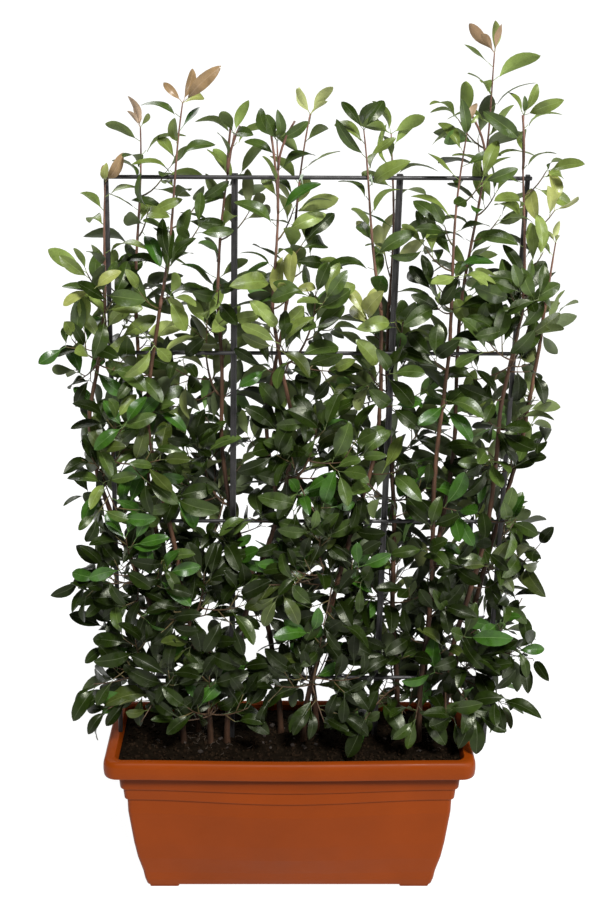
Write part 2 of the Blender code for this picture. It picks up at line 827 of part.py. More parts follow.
def bush_mass(name, level, column, rng):
    """The space of one mass in the rows and columns, and the point that its main twig makes for."""
    height = (HEAD_HEIGHT + 0.02 - CROWN_BOTTOM) / ROWS
    bottom = CROWN_BOTTOM + level * height + STAGGER * (-1) ** column
    middle = bottom + height / 2
    left, right = crown_side(-1, middle), crown_side(1, middle)
    width = (right - left) / COLUMNS
    x = left + (column + 0.5) * width
    low = (x - width / 2 - SPILL, -CROWN_DEPTH, bottom - SPILL if level else CROWN_FLOOR)
    high = (x + width / 2 + SPILL, CROWN_DEPTH, bottom + height + SPILL)
    aim = Vector((x, 0, bottom + TWIG_AIM_SHARE * height))
    start, out, row = start_on_stem(aim, bottom + TWIG_FOOT_SHARE * height)
    aim.y = TWIG_AIM_DEPTH * stem_point(row, middle).y
    mass = Mass(name, low, high, rng)
    mass.side_twigs = SIDE_TWIGS[level]
    return mass, start, out, aim


def grow_crown(solids, rng):
    """First the main twig of every mass, then the rest of each in turn, clear of all that stands already."""
    fixed = [shape_of_object(obj) for obj in solids]
    masses = []

    def taken(but=None):
        return fixed + [shape for m in masses if m is not but for shape in m.twigs + m.leaves]

    for row in STEMS:
        mass = shoot_mass(row, rng)
        mass.blocked = tree_of(taken())
        if start_shoot(mass, row):
            masses.append(mass)
    for level, names in enumerate(bush_names()):
        for column, name in enumerate(names):
            mass, start, out, aim = bush_mass(name, level, column, rng)
            mass.blocked = tree_of(taken())
            if start_bush(mass, start, out, aim):
                masses.append(mass)
    for mass in masses:
        mass.blocked = tree_of(taken(mass))
        if mass.row:
            grow_shoot(mass)
        else:
            grow_bush(mass)
    return masses


def is_one_skin(mesh):
    """Whether every edge lies between two faces and the faces hang together."""
    work = bmesh.new()
    work.from_mesh(mesh)
    closed = all(len(edge.link_faces) == 2 for edge in work.edges)
    whole = closed and len(bodies_of(work)) == 1
    work.free()
    return whole


def join_shapes(name, shapes, material, parts, cutters):
    made = new_object(name, mesh_of(name, *shapes[0]), material, parts)
    for number, shape in enumerate(shapes[1:]):
        label = f"{name}_{number}"
        new_object(label, mesh_of(label, *shape), material, cutters)
    apply_boolean(made, "UNION", cutters)
    keep_largest_body(made.data)
    return made


def join_mass(mass, material, parts, cutters):
    """Fuses the twigs and leaves of a mass. Where that doesn't close, they are added one by one, those that
    keep the skin closed."""
    shapes = mass.twigs + mass.leaves
    made = join_shapes(mass.name, shapes, material, parts, cutters)
    if is_one_skin(made.data):
        return made
    kept = shapes[:1]
    for shape in shapes[1:]:
        bpy.data.objects.remove(made)
        made = join_shapes(mass.name, kept + [shape], material, parts, cutters)
        if is_one_skin(made.data):
            kept.append(shape)
    bpy.data.objects.remove(made)
    return join_shapes(mass.name, kept, material, parts, cutters)


def main():
    clear_scene()
    parts = new_collection("photinia_shrub")
    cutters = new_collection("cutters")
    terracotta = new_material("terracotta_plastic", (0.42, 0.10, 0.03), 0.35)
    earth = new_material("potting_soil", (0.030, 0.018, 0.012), 0.95)
    steel = new_material("painted_steel", (0.030, 0.030, 0.032), 0.45, 0.3)
    bark = new_material("bark", (0.13, 0.055, 0.035), 0.6)
    leaf = new_material("foliage", (0.045, 0.13, 0.025), 0.4)
    solids = [make_pot(terracotta, parts, cutters), make_soil(earth, parts, cutters)]
    solids += make_trellis(steel, parts)
    solids += make_stems(bark, parts)
    bpy.context.view_layer.update()
    masses = grow_crown(solids, random.Random(SEED))
    for mass in masses:
        join_mass(mass, leaf, parts, cutters)
    cutters.hide_render = True
    count = sum(len(mass.leaves) + mass.tips for mass in masses)
    print(f"{len(masses)} masses with {count} leaves")


main()
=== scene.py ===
# An evergreen shrub with glossy leaves, grown flat on a metal trellis in a long plastic trough.
import random
from math import copysign, cos, exp, hypot, pi, radians, sin, sqrt

import bpy
import numpy as np
from mathutils import Matrix, Vector, noise
from mathutils.bvhtree import BVHTree


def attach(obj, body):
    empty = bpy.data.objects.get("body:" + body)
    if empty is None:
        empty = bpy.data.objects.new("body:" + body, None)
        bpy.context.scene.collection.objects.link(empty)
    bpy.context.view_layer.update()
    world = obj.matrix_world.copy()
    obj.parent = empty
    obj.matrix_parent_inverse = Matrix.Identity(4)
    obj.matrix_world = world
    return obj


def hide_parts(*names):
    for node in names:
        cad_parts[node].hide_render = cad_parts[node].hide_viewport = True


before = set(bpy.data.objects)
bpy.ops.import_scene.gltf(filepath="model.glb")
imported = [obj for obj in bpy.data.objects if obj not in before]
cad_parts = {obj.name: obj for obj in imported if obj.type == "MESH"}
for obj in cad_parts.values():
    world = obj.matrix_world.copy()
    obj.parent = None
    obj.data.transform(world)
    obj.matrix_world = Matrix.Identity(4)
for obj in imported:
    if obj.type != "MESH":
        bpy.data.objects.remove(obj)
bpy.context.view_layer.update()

goldenAngle = radians(137.508)


# materials

def shaderOf(made):
    return made.node_tree.nodes["Principled BSDF"]


def newMaterial(name, color, roughness, gloss=0.5, metal=0.0):
    made = bpy.data.materials.new(name)
    made.use_nodes = True
    made.diffuse_color = (*color, 1)
    sockets = shaderOf(made).inputs
    sockets["Base Color"].default_value = (*color, 1)
    sockets["Roughness"].default_value = roughness
    sockets["Specular IOR Level"].default_value = gloss
    sockets["Metallic"].default_value = metal
    return made


def addNode(made, kind, **values):
    node = made.node_tree.nodes.new(kind)
    for socket, value in values.items():
        node.inputs[socket].default_value = value
    return node


def addNoise(made, scale, detail=4.0, rough=0.55, stretch=(1, 1, 1)):
    link = made.node_tree.links.new
    spread = addNode(made, "ShaderNodeMapping", Scale=stretch)
    grain = addNode(made, "ShaderNodeTexNoise", Scale=scale, Detail=detail, Roughness=rough)
    link(addNode(made, "ShaderNodeTexCoord").outputs["Object"], spread.inputs["Vector"])
    link(spread.outputs["Vector"], grain.inputs["Vector"])
    return grain.outputs["Fac"]


def addRange(made, value, low, high, least, most):
    # a value between low and high becomes one between least and most
    ends = {"From Min": low, "From Max": high, "To Min": least, "To Max": most}
    spread = addNode(made, "ShaderNodeMapRange", **ends)
    made.node_tree.links.new(value, spread.inputs["Value"])
    return spread.outputs["Result"]


def addRamp(made, value, stops):
    # a value picks a colour between the stops
    ramp = addNode(made, "ShaderNodeValToRGB")
    points = ramp.color_ramp.elements
    points.remove(points[1])
    points[0].position, points[0].color = stops[0][0], (*stops[0][1], 1)
    for position, color in stops[1:]:
        points.new(position).color = (*color, 1)
    made.node_tree.links.new(value, ramp.inputs["Fac"])
    return ramp.outputs["Color"]


def mottle(made, scale, stops, **grain):
    # the colour varies with a noise
    color = addRamp(made, addNoise(made, scale, **grain), stops)
    made.node_tree.links.new(color, shaderOf(made).inputs["Base Color"])


def shades(color, spread):
    # darker, plain and lighter stops round one colour
    return [(0.30, tuple(c * (1 - spread) for c in color)), (0.5, color),
            (0.70, tuple(min(c * (1 + spread), 1) for c in color))]


def mottled(name, color, roughness, scale, spread, gloss=0.5, metal=0.0, **grain):
    # a new material that varies round one colour
    made = newMaterial(name, color, roughness, gloss, metal)
    mottle(made, scale, shades(color, spread), **grain)
    return made


def shineVaries(made, scale, low, high, **grain):
    rough = addRange(made, addNoise(made, scale, **grain), 0.3, 0.7, low, high)
    made.node_tree.links.new(rough, shaderOf(made).inputs["Roughness"])


def relief(made, scale, strength, distance, **grain):
    bump = addNode(made, "ShaderNodeBump", Strength=strength, Distance=distance)
    made.node_tree.links.new(addNoise(made, scale, **grain), bump.inputs["Height"])
    made.node_tree.links.new(bump.outputs["Normal"], shaderOf(made).inputs["Normal"])


def paintedShadeByHeight(made, low, high, stops):
    # painted shade: the colour is multiplied by a ramp of tones between two heights
    link = made.node_tree.links.new
    height = addNode(made, "ShaderNodeSeparateXYZ")
    link(addNode(made, "ShaderNodeTexCoord").outputs["Object"], height.inputs["Vector"])
    both = addNode(made, "ShaderNodeMix")
    both.data_type, both.blend_type = "RGBA", "MULTIPLY"
    both.inputs["Factor"].default_value = 1
    plain = shaderOf(made).inputs["Base Color"]
    link(plain.links[0].from_socket, both.inputs["A"])
    link(addRamp(made, addRange(made, height.outputs["Z"], low, high, 0, 1), stops), both.inputs["B"])
    link(both.outputs["Result"], plain)


# mesh code shared by the pieces

def newBag():
    return {"corners": [], "faces": [], "slots": [], "count": 0}


def addTo(bag, corners, faces, slots=0):
    first = bag["count"]
    bag["corners"].extend(tuple(c) for c in corners)
    bag["faces"].extend([first + i for i in face] for face in faces)
    bag["slots"].extend(slots if isinstance(slots, list) else [slots] * len(faces))
    bag["count"] += len(corners)


def pieceFrom(name, bag, materials, sharp=40):
    mesh = bpy.data.meshes.new(name)
    mesh.from_pydata(bag["corners"], [], bag["faces"])
    for made in materials:
        mesh.materials.append(made)
    mesh.polygons.foreach_set("material_index", bag["slots"])
    mesh.shade_smooth()
    if sharp:
        mesh.set_sharp_from_angle(angle=radians(sharp))
    mesh.update()
    piece = bpy.data.objects.new(name, mesh)
    bpy.context.scene.collection.objects.link(piece)
    return piece


def tube(points, radii, sides, side=None):
    # a closed round tube through the points
    corners, faces = [], []
    side = side or (points[1] - points[0]).orthogonal().normalized()
    last = len(points) - 1
    for i, point in enumerate(points):
        ahead = (points[min(i + 1, last)] - points[max(i - 1, 0)]).normalized()
        side = (side - side.dot(ahead) * ahead).normalized()
        across = ahead.cross(side)
        for k in range(sides):
            turn = 2 * pi * k / sides
            corners.append(point + radii[i] * (cos(turn) * side + sin(turn) * across))
    for i in range(last):
        for k in range(sides):
            a, b = i * sides + k, i * sides + (k + 1) % sides
            faces.append((a, b, b + sides, a + sides))
    faces.append(tuple(range(sides))[::-1])
    faces.append(tuple(last * sides + k for k in range(sides)))
    return corners, faces


def skin(rings):
    # a closed solid through rings of the same count
    count = len(rings[0])
    corners = [point for ring in rings for point in ring]
    faces = [tuple(range(count))[::-1]]
    for at in range(len(rings) - 1):
        low, high = at * count, (at + 1) * count
        faces += [(low + i, low + (i + 1) % count, high + (i + 1) % count, high + i) for i in range(count)]
    faces.append(tuple((len(rings) - 1) * count + i for i in range(count)))
    return corners, faces


def cornerTurns(steps):
    # the corners of a rectangle, from right behind round by the left, and the turns that round each
    for corner, (sideX, sideY) in enumerate(((1, 1), (-1, 1), (-1, -1), (1, -1))):
        yield corner, sideX, sideY, [(corner + step / steps) * pi / 2 for step in range(steps + 1)]


def bendAt(start, knee, end, t):
    return (1 - t) ** 2 * start + 2 * t * (1 - t) * knee + t * t * end


def alongTable(table, at):
    if at <= table[0][0]:
        return table[0][1]
    for (low, first), (high, second) in zip(table, table[1:]):
        if at <= high:
            return first + (second - first) * (at - low) / (high - low)
    return table[-1][1]


def easeIn(share):
    share = min(max(share, 0.0), 1.0)
    return share * share * (3 - 2 * share)


# camera, floor and light, to the photo's view

camera = {"place": (-0.004, -2.5815, 1.945), "down": 19.57, "right": 0.52, "roll": 0.32, "lens": 53.09}

down, right, roll = (radians(camera[key]) for key in ("down", "right", "roll"))
looks = Vector((sin(right) * cos(down), cos(right) * cos(down), -sin(down)))
level = looks.cross(Vector((0, 0, 1))).normalized()
upward = level.cross(looks)
sideways = level * cos(roll) + upward * sin(roll)
upward = upward * cos(roll) - level * sin(roll)
eye = bpy.data.objects.new("camera", bpy.data.cameras.new("camera"))
eye.data.lens = camera["lens"]
eye.data.sensor_width = 36
turned = Matrix((sideways, upward, -looks)).transposed()
eye.matrix_world = Matrix.Translation(camera["place"]) @ turned.to_4x4()
bpy.context.scene.collection.objects.link(eye)
bpy.context.scene.camera = eye

studio = {
    "ambient": 0.10, "floor": (0.13, 0.13, 0.13), "floorGlow": 0.96,
    "floorEdges": ((-500, -400, 0), (500, -400, 0), (500, 900, 0), (-500, 900, 0)),
    "aim": (0, 0, 0.9), "sunFrom": (0.55, -1.7, 3.1), "sunPower": 4.9, "sunSize": 12,
    # place, size, watts
    "lamps": {
        "sideLamp": ((2.4, -1.3, 1.5), 1.2, 36),
        "backLamp": ((-1.4, 2.0, 3.0), 1.6, 40),
    },
}

scene = bpy.context.scene
scene.view_settings.view_transform = "Standard"
sky = bpy.data.worlds.new("studio")
sky.use_nodes = True
skyNodes, skyLinks = sky.node_tree.nodes, sky.node_tree.links
skyNodes["Background"].inputs["Color"].default_value = (1, 1, 1, 1)
skyNodes["Background"].inputs["Strength"].default_value = studio["ambient"]
whiteWall = skyNodes.new("ShaderNodeBackground")  # what the camera sees past the floor
whiteWall.inputs["Color"].default_value = (1, 1, 1, 1)
seen = skyNodes.new("ShaderNodeLightPath")
either = skyNodes.new("ShaderNodeMixShader")
skyLinks.new(seen.outputs["Is Camera Ray"], either.inputs["Fac"])
skyLinks.new(skyNodes["Background"].outputs["Background"], either.inputs[1])
skyLinks.new(whiteWall.outputs["Background"], either.inputs[2])
skyLinks.new(either.outputs["Shader"], skyNodes["World Output"].inputs["Surface"])
scene.world = sky


def aimedLamp(name, kind, place, watts):
    lamp = bpy.data.objects.new(name, bpy.data.lights.new(name, kind))
    lamp.data.energy = watts
    lamp.location = place
    lamp.rotation_euler = (Vector(studio["aim"]) - Vector(place)).to_track_quat("-Z", "Y").to_euler()
    scene.collection.objects.link(lamp)
    return lamp


aimedLamp("keySun", "SUN", studio["sunFrom"], studio["sunPower"]).data.angle = radians(studio["sunSize"])
for name, (place, size, watts) in studio["lamps"].items():
    aimedLamp(name, "AREA", place, watts).data.size = size

floorBag = newBag()
addTo(floorBag, studio["floorEdges"], [(0, 1, 2, 3)])
floorPaint = newMaterial("floorPaint", studio["floor"], 0.9, 0.0)
shaderOf(floorPaint).inputs["Emission Color"].default_value = (1, 1, 1, 1)
shaderOf(floorPaint).inputs["Emission Strength"].default_value = studio["floorGlow"]
floorPiece = pieceFrom("floor", floorBag, [floorPaint])
print("camera, light and floor ready")


# the trough

trough = {
    "width": 0.805, "depth": 0.27, "height": 0.362,
    "footHeight": 0.008, "wall": 0.004, "floor": 0.006,
    "bodyInset": (0.047, 0.032), "baseInset": (0.0725, 0.055),
    "bodyCurve": ((0.0, 1.27), (0.06, 1.12), (0.15, 1.0), (0.33, 0.61), (0.50, 0.37), (0.85, 0.02), (1.0, 0.0)),
    "bands": ((0.254, 0.0055, 0.0080), (0.283, 0.0135, 0.0165)),  # bottom, how far out there and at its top
    "bandShare": 0.75, "bandLedge": 0.0045, "rimDrop": 0.040, "rimBelly": 0.006, "throatFlare": 0.0075,
    "belly": ((0.008, 0.0), (0.10, 0.012), (0.20, 0.019), (0.254, 0.020), (0.322, 0.010), (0.362, 0.006)),
    "cornerRadius": 0.030, "cornerShare": 0.45, "leastRadius": 0.0105,
    "cornerSteps": 10, "longSteps": 24,
    "softOutside": 0.0022, "softLip": 0.004, "softInside": 0.003, "footEdge": 0.003,
    "feet": ((0.283, 0.0535, 0.066, 0.037), (0.0, 0.0, 0.120, 0.060)),  # x, y, length, depth
    "color": (0.176, 0.0290, 0.0010),
    # painted shade under the rim, a darker tone: from below its edge to above it, and the ramp between
    "paintedShadeReach": (0.042, 0.0105),
    "paintedShade": ((0.0, (1, 1, 1)), (0.55, (0.66, 0.62, 0.55)), (0.797, (0.66, 0.62, 0.55)), (0.805, (1, 1, 1))),
}


def troughRing(z, insetX, insetY, belly=None):
    # one level of the trough: round corners, and long sides that bulge
    radius = max(trough["cornerRadius"] - trough["cornerShare"] * insetX, trough["leastRadius"])
    halfX, halfY = trough["width"] / 2 - insetX, trough["depth"] / 2 - insetY
    bulge = alongTable(trough["belly"], z) if belly is None else belly
    ring = []
    for corner, sideX, sideY, turns in cornerTurns(trough["cornerSteps"]):
        middle = Vector((sideX * (halfX - radius), sideY * (halfY - radius)))
        ring += [middle + radius * Vector((cos(turn), sin(turn))) for turn in turns]
        if corner in (0, 2):  # a long side follows
            start = ring[-1].copy()
            for step in range(1, trough["longSteps"]):
                ring.append(Vector((start.x * (1 - 2 * step / trough["longSteps"]), start.y)))
    straight = halfX - radius
    for point in ring:
        share = min(abs(point.x) / straight, 1)
        point.y += copysign(bulge * cos(pi / 2 * share) ** 2, point.y)
    return [Vector((p.x, p.y, z)) for p in ring]


def softCorners(levels, radius, steps=4):
    # rounds each corner of a profile of heights and insets
    levels = [Vector(entry) for entry in levels]
    made = [levels[0]]
    for before, at, after in zip(levels, levels[1:], levels[2:]):
        inward, outward = before - at, after - at
        reach = min(radius, inward.length * 0.45, outward.length * 0.45)
        first, second = at + inward.normalized() * reach, at + outward.normalized() * reach
        made += [bendAt(first, at, second, step / steps) for step in range(steps + 1)]
    return made + [levels[-1]]


def bodyLevels(depth):
    # the walls below the bands, this deep inside the outer face
    (topX, topY), (baseX, baseY) = trough["bodyInset"], trough["baseInset"]
    low, high = trough["footHeight"], trough["bands"][0][0]
    levels = []
    for share, inward in trough["bodyCurve"]:
        insetX = topX + inward * (baseX - topX) + depth
        insetY = topY + inward * (baseY - topY) + depth
        levels.append((low + share * (high - low), insetX, insetY))
    return levels


def bandInset(out):
    return trough["bodyInset"][0] - out, trough["bodyInset"][1] - trough["bandShare"] * out


def makeTrough():
    top, wall = trough["height"], trough["wall"]
    rimEdge = top - trough["rimDrop"]
    floorAt = trough["footHeight"] + trough["floor"]
    outside = bodyLevels(0)
    bandTops = (trough["bands"][1][0], rimEdge)
    for (bottom, lowOut, highOut), bandTop in zip(trough["bands"], bandTops):
        outside.append((bottom, *bandInset(lowOut - trough["bandLedge"])))
        outside.append((bottom + 0.0006, *bandInset(lowOut)))
        outside.append((bandTop, *bandInset(highOut)))
    edge = bandInset(trough["bands"][-1][2])
    outside.append((top - 0.005, edge[0] - trough["throatFlare"], edge[1]))
    lip = [(top - 0.005, 0.008, 0.008), (rimEdge, 0.0055, 0.0055), (rimEdge, 0.0012, 0.0012),
           (top - 0.026, 0.0, 0.0), (top - 0.010, 0.0008, 0.0008), (top - 0.002, 0.005, 0.005),
           (top, 0.012, 0.010), (top, 0.0245, 0.017)]  # height, inset along, inset across
    inside = [(top - 0.004, edge[0] + wall - trough["throatFlare"], edge[1] + wall - 0.001),
              (rimEdge, edge[0] + wall, edge[1] + wall)]
    base, *walls = bodyLevels(wall)
    inside += [entry for entry in reversed(walls) if entry[0] > 2 * floorAt]
    inside.append((floorAt, *base[1:]))
    rings = [troughRing(*entry) for entry in softCorners(outside, trough["softOutside"])]
    rings += [troughRing(*entry, trough["rimBelly"]) for entry in softCorners(lip, trough["softLip"])]
    rings += [troughRing(*entry) for entry in softCorners(inside, trough["softInside"], 2)]
    bag = newBag()
    addTo(bag, *skin(rings))
    plastic = mottled("terracottaPlastic", trough["color"], 0.40, 7, 0.08, 0.10, detail=6)
    # painted shade: the plastic is darker just below the rim's edge
    paintedShadeByHeight(plastic, rimEdge - trough["paintedShadeReach"][0], rimEdge + trough["paintedShadeReach"][1], trough["paintedShade"])
    shineVaries(plastic, 26, 0.34, 0.52, detail=6)
    relief(plastic, 620, 0.12, 0.0006, detail=3)
    body = pieceFrom("troughBody", bag, [plastic], 32)
    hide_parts("pot")
    feet = newBag()
    for x, y, length, depth in trough["feet"]:
        for sideX in ((-1, 1) if x else (1,)):
            for sideY in ((-1, 1) if y else (1,)):
                addTo(feet, *footBlock(sideX * x, sideY * y, length, depth))
    under = pieceFrom("troughFeet", feet, [plastic], 32)
    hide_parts("pot")
    for piece in (body, under):
        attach(piece, "root")


def footBlock(x, y, length, depth):
    edge = trough["footEdge"]
    rings = []
    for z, inward in ((0.0, edge), (0.0008, edge * 0.3), (edge, 0.0), (trough["footHeight"] + 0.003, 0.0)):
        halfX, halfY = length / 2 - inward, depth / 2 - inward
        ring = []
        for _, sideX, sideY, turns in cornerTurns(3):
            ring += [Vector((x + sideX * (halfX - edge) + edge * cos(turn),
                             y + sideY * (halfY - edge) + edge * sin(turn), z)) for turn in turns]
        rings.append(ring)
    return skin(rings)


makeTrough()
print("trough made")


# the soil

soil = {
    "top": 0.344, "heap": 0.004, "relief": 0.0045, "step": 0.004, "edgeInset": (0.0300, 0.0231), "skirt": 0.030,
    "fine": 38, "coarse": 9, "mound": 0.008, "moundReach": 0.07,
    "crumbs": 1500, "crumbSize": (0.0016, 0.0052), "bigCrumbs": 0.06,
    "chips": 40, "chipSize": (0.004, 0.009), "fibres": 50, "fibreLength": (0.010, 0.028),
    "fibreRadii": (0.0006, 0.0008, 0.0008, 0.0007, 0.0005),
    "clumps": (-0.205, 0.02, 0.300),  # where the stems' feet stand close, and the litter lies
    "color": (0.0068, 0.0045, 0.0026), "crumbColor": (0.0115, 0.0070, 0.0040),
    "chipColor": (0.017, 0.010, 0.0062), "fibreColor": (0.028, 0.018, 0.010),
}


def soilHeight(x, y):
    rough = noise.fractal(Vector((x * soil["fine"], y * soil["fine"], 1.7)), 0.9, 2.1, 5)
    coarse = noise.noise(Vector((x * soil["coarse"], y * soil["coarse"], 4.1)))
    near = min(hypot(x - clump, y * 1.4) for clump in soil["clumps"])
    mound = soil["mound"] * exp(-(near / soil["moundReach"]) ** 2)
    return soil["top"] + soil["heap"] * 0.5 + soil["relief"] * (0.55 * rough + 0.6 * coarse) + mound


def makeSoil(rng):
    outline = troughRing(soil["top"], *soil["edgeInset"])
    halfX, halfY = max(p.x for p in outline), max(p.y for p in outline)
    columns, rows = int(2 * halfX / soil["step"]), int(2 * halfY / soil["step"])
    bag = newBag()
    corners, faces = [], []
    # a grid pulled out to the trough's inner outline, then a skirt and a flat underside
    for j in range(rows + 1):
        v = 2 * j / rows - 1
        for i in range(columns + 1):
            u = 2 * i / columns - 1
            x, y = u * halfX, v * halfY
            cut = abs(u) ** 60 + abs(v) ** 20
            if cut > 1:
                x, y = x * cut ** -0.012, y * cut ** -0.03
            y *= edgeShare(x, halfX)
            low = easeIn((1 - max(abs(u), abs(v))) / 0.05)
            corners.append(Vector((x, y, soilHeight(x, y) * low + (soil["top"] - 0.001) * (1 - low))))
    wide = columns + 1
    for j in range(rows):
        for i in range(columns):
            a = j * wide + i
            faces.append((a, a + 1, a + 1 + wide, a + wide))
    rim = list(range(wide)) + [j * wide + columns for j in range(1, rows + 1)]
    rim += [rows * wide + i for i in range(columns - 1, -1, -1)] + [j * wide for j in range(rows - 1, 0, -1)]
    first = len(corners)
    for i in rim:
        corners.append(Vector((corners[i].x * 0.985, corners[i].y * 0.96, soil["top"] - soil["skirt"])))
    for k, corner in enumerate(rim):
        after = (k + 1) % len(rim)
        faces.append((corner, first + k, first + after, rim[after]))
    faces.append(tuple(first + k for k in reversed(range(len(rim)))))
    addTo(bag, corners, faces)
    crumbs = newBag()
    for _ in range(soil["crumbs"]):
        x, y = rng.uniform(-0.97, 0.97) * halfX, rng.uniform(-0.92, 0.92) * halfY
        size = rng.uniform(*soil["crumbSize"]) * (1.5 if rng.random() < soil["bigCrumbs"] else 1)
        addTo(crumbs, *pebble(Vector((x, y, soilHeight(x, y) + size * 0.25)), size, rng))
    litter = newBag()
    for _ in range(soil["chips"]):
        x, y = rng.choice(soil["clumps"]) + rng.gauss(0, 0.05), rng.gauss(0, 0.045)
        size = rng.uniform(*soil["chipSize"])
        addTo(litter, *pebble(Vector((x, y, soilHeight(x, y) + 0.002)), size, rng, flat=0.35))
    for number in range(soil["fibres"]):
        x, y = soil["clumps"][0 if number % 3 else 2] + rng.gauss(0, 0.045), rng.gauss(-0.01, 0.035)
        turn, length = rng.uniform(0, 2 * pi), rng.uniform(*soil["fibreLength"])
        points = []
        for k in range(5):
            t = k / 4 - 0.5
            px = x + length * t * cos(turn + t)
            py = y + length * t * sin(turn + t)
            points.append(Vector((px, py, soilHeight(px, py) + 0.0012 + 0.004 * (0.25 - t * t))))
        addTo(litter, *tube(points, soil["fibreRadii"], 4), slots=1)
    earth = newMaterial("pottingSoil", soil["color"], 0.95, 0.02)
    mottle(earth, 90, [(0.3, tuple(c * 0.45 for c in soil["color"])), (0.55, soil["color"]),
                       (0.75, tuple(c * 2.0 for c in soil["color"]))], detail=8)
    relief(earth, 420, 0.8, 0.002, detail=6)
    crumb = mottled("soilCrumb", soil["crumbColor"], 0.95, 160, 0.55, 0.02, detail=5)
    chip = mottled("barkChip", soil["chipColor"], 0.85, 120, 0.4, detail=5)
    fibre = mottled("rootFibre", soil["fibreColor"], 0.8, 60, 0.3)
    for name, contents, materials in (("soilBed", bag, [earth]), ("soilCrumbs", crumbs, [crumb]),
                                      ("soilLitter", litter, [chip, fibre])):
        piece = pieceFrom(name, contents, materials, 60)
        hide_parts("soil")
        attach(piece, "root")


def edgeShare(x, halfX):
    # the long edges bulge towards mid length, as the trough's walls do
    straight = halfX - 0.015
    bulge = alongTable(trough["belly"], soil["top"])
    halfY = trough["depth"] / 2 - soil["edgeInset"][1]
    return (halfY + bulge * cos(pi / 2 * min(abs(x) / straight, 1)) ** 2) / (halfY + bulge)


def pebble(middle, size, rng, flat=0.75):
    # a rough eight-cornered lump
    corners, faces = [], []
    spin = Matrix.Rotation(rng.uniform(0, 2 * pi), 3, "Z") @ Matrix.Rotation(rng.uniform(-0.5, 0.5), 3, "X")
    for z in (-0.6, 0.6):
        for k in range(4):
            turn = pi / 2 * k + rng.uniform(-0.3, 0.3)
            out = rng.uniform(0.55, 0.9)
            corners.append(middle + size * (spin @ Vector((out * cos(turn), out * sin(turn), z * flat))))
    corners += [middle + size * (spin @ Vector((0, 0, z))) for z in (-flat, flat)]
    for k in range(4):
        after = (k + 1) % 4
        faces += [(k, after, 4 + after, 4 + k), (8, after, k), (9, 4 + k, 4 + after)]
    return corners, faces


makeSoil(random.Random(7))
print("soil made")


# the trellis

trellis = {
    "posts": (  # node, foot, half width, bottom, groove
        ("post_left", -0.3825, 0.0045, 0.3623, 0.0),
        ("post_inner_left", -0.1355, 0.0062, 0.300, 0.0022),
        ("post_inner_right", 0.1825, 0.0062, 0.300, 0.0022),
        ("post_right", 0.4285, 0.0045, 0.334, 0.0),
    ),
    "front": -0.0062, "lean": 0.0167, "postEdge": 0.0012, "grooveWidth": 0.42,
    "railRadius": 0.0040, "railGap": 0.0003, "overhang": 0.007, "aboveRail": 0.006,
    "rails": (("rail_bottom", 0.503), ("rail_lower", 0.873), ("rail_upper", 1.237), ("rail_top", 1.585)),
    "color": (0.026, 0.0245, 0.0245),
    "tieColor": (0.33, 0.40, 0.30), "ties": ((-0.029, -1), (0.017, 1), (0.150, -1)), "tieRadius": 0.0011,
}


def postOutline(half, groove):
    # a square with soft corners and, on the inner posts, a groove down the front
    edge = trellis["postEdge"]
    outline = []
    for corner, sideX, sideY, turns in cornerTurns(2):
        outline += [(sideX * (half - edge) + edge * cos(turn), sideY * (half - edge) + edge * sin(turn))
                    for turn in turns]
        if corner == 2 and groove:
            wide = half * trellis["grooveWidth"]
            outline += [(-wide, -half), (-wide * 0.8, -half + groove), (wide * 0.8, -half + groove), (wide, -half)]
    return outline


def makeTrellis():
    top = trellis["rails"][-1][1] + trellis["aboveRail"]
    steel = mottled("paintedSteel", trellis["color"], 0.42, 45, 0.35, metal=0.25, detail=6)
    shineVaries(steel, 70, 0.34, 0.60, detail=5)
    relief(steel, 900, 0.25, 0.0004, detail=3)
    for name, foot, half, bottom, groove in trellis["posts"]:
        outline = postOutline(half, groove)
        y = min(trellis["front"] + half, 0)
        rings = []
        for z, inward in ((bottom, 0.93), (bottom + 0.001, 1), (top - 0.001, 1), (top, 0.9)):
            x = foot + trellis["lean"] * z
            rings.append([Vector((x + px * inward, y + py * inward, z)) for px, py in outline])
        bag = newBag()
        addTo(bag, *skin(rings))
        piece = pieceFrom("trellis" + name.title().replace("_", ""), bag, [steel], 30)
        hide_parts(name)
        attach(piece, "root")
    radius = trellis["railRadius"]
    y = trellis["front"] - trellis["railGap"] - radius
    for name, z in trellis["rails"]:
        left = trellis["posts"][0][1] + trellis["lean"] * z - trellis["overhang"]
        right = trellis["posts"][-1][1] + trellis["lean"] * z + trellis["overhang"]
        points, radii = [], []
        for share, size in ((0.0, 0.7), (0.0012, 0.93), (0.003, 1.0)):
            points.append(Vector((left + (right - left) * share, y, z)))
            radii.append(radius * size)
        points += [Vector((left + right - p.x, y, z)) for p in reversed(points)]
        radii += radii[::-1]
        bag = newBag()
        addTo(bag, *tube(points, radii, 20))
        # a weld bead where the rail crosses each post
        for _, foot, half, *_ in trellis["posts"]:
            x = foot + trellis["lean"] * z
            for side in (-1, 1):
                bead = [Vector((x + (half * 0.7) * t, y + radius * 0.55, z + side * radius * 0.75))
                        for t in (-1, -0.4, 0.4, 1)]
                addTo(bag, *tube(bead, [0.0004, 0.0013, 0.0014, 0.0004], 8))
        piece = pieceFrom("trellis" + name.title().replace("_", ""), bag, [steel], 50)
        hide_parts(name)
        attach(piece, "root")


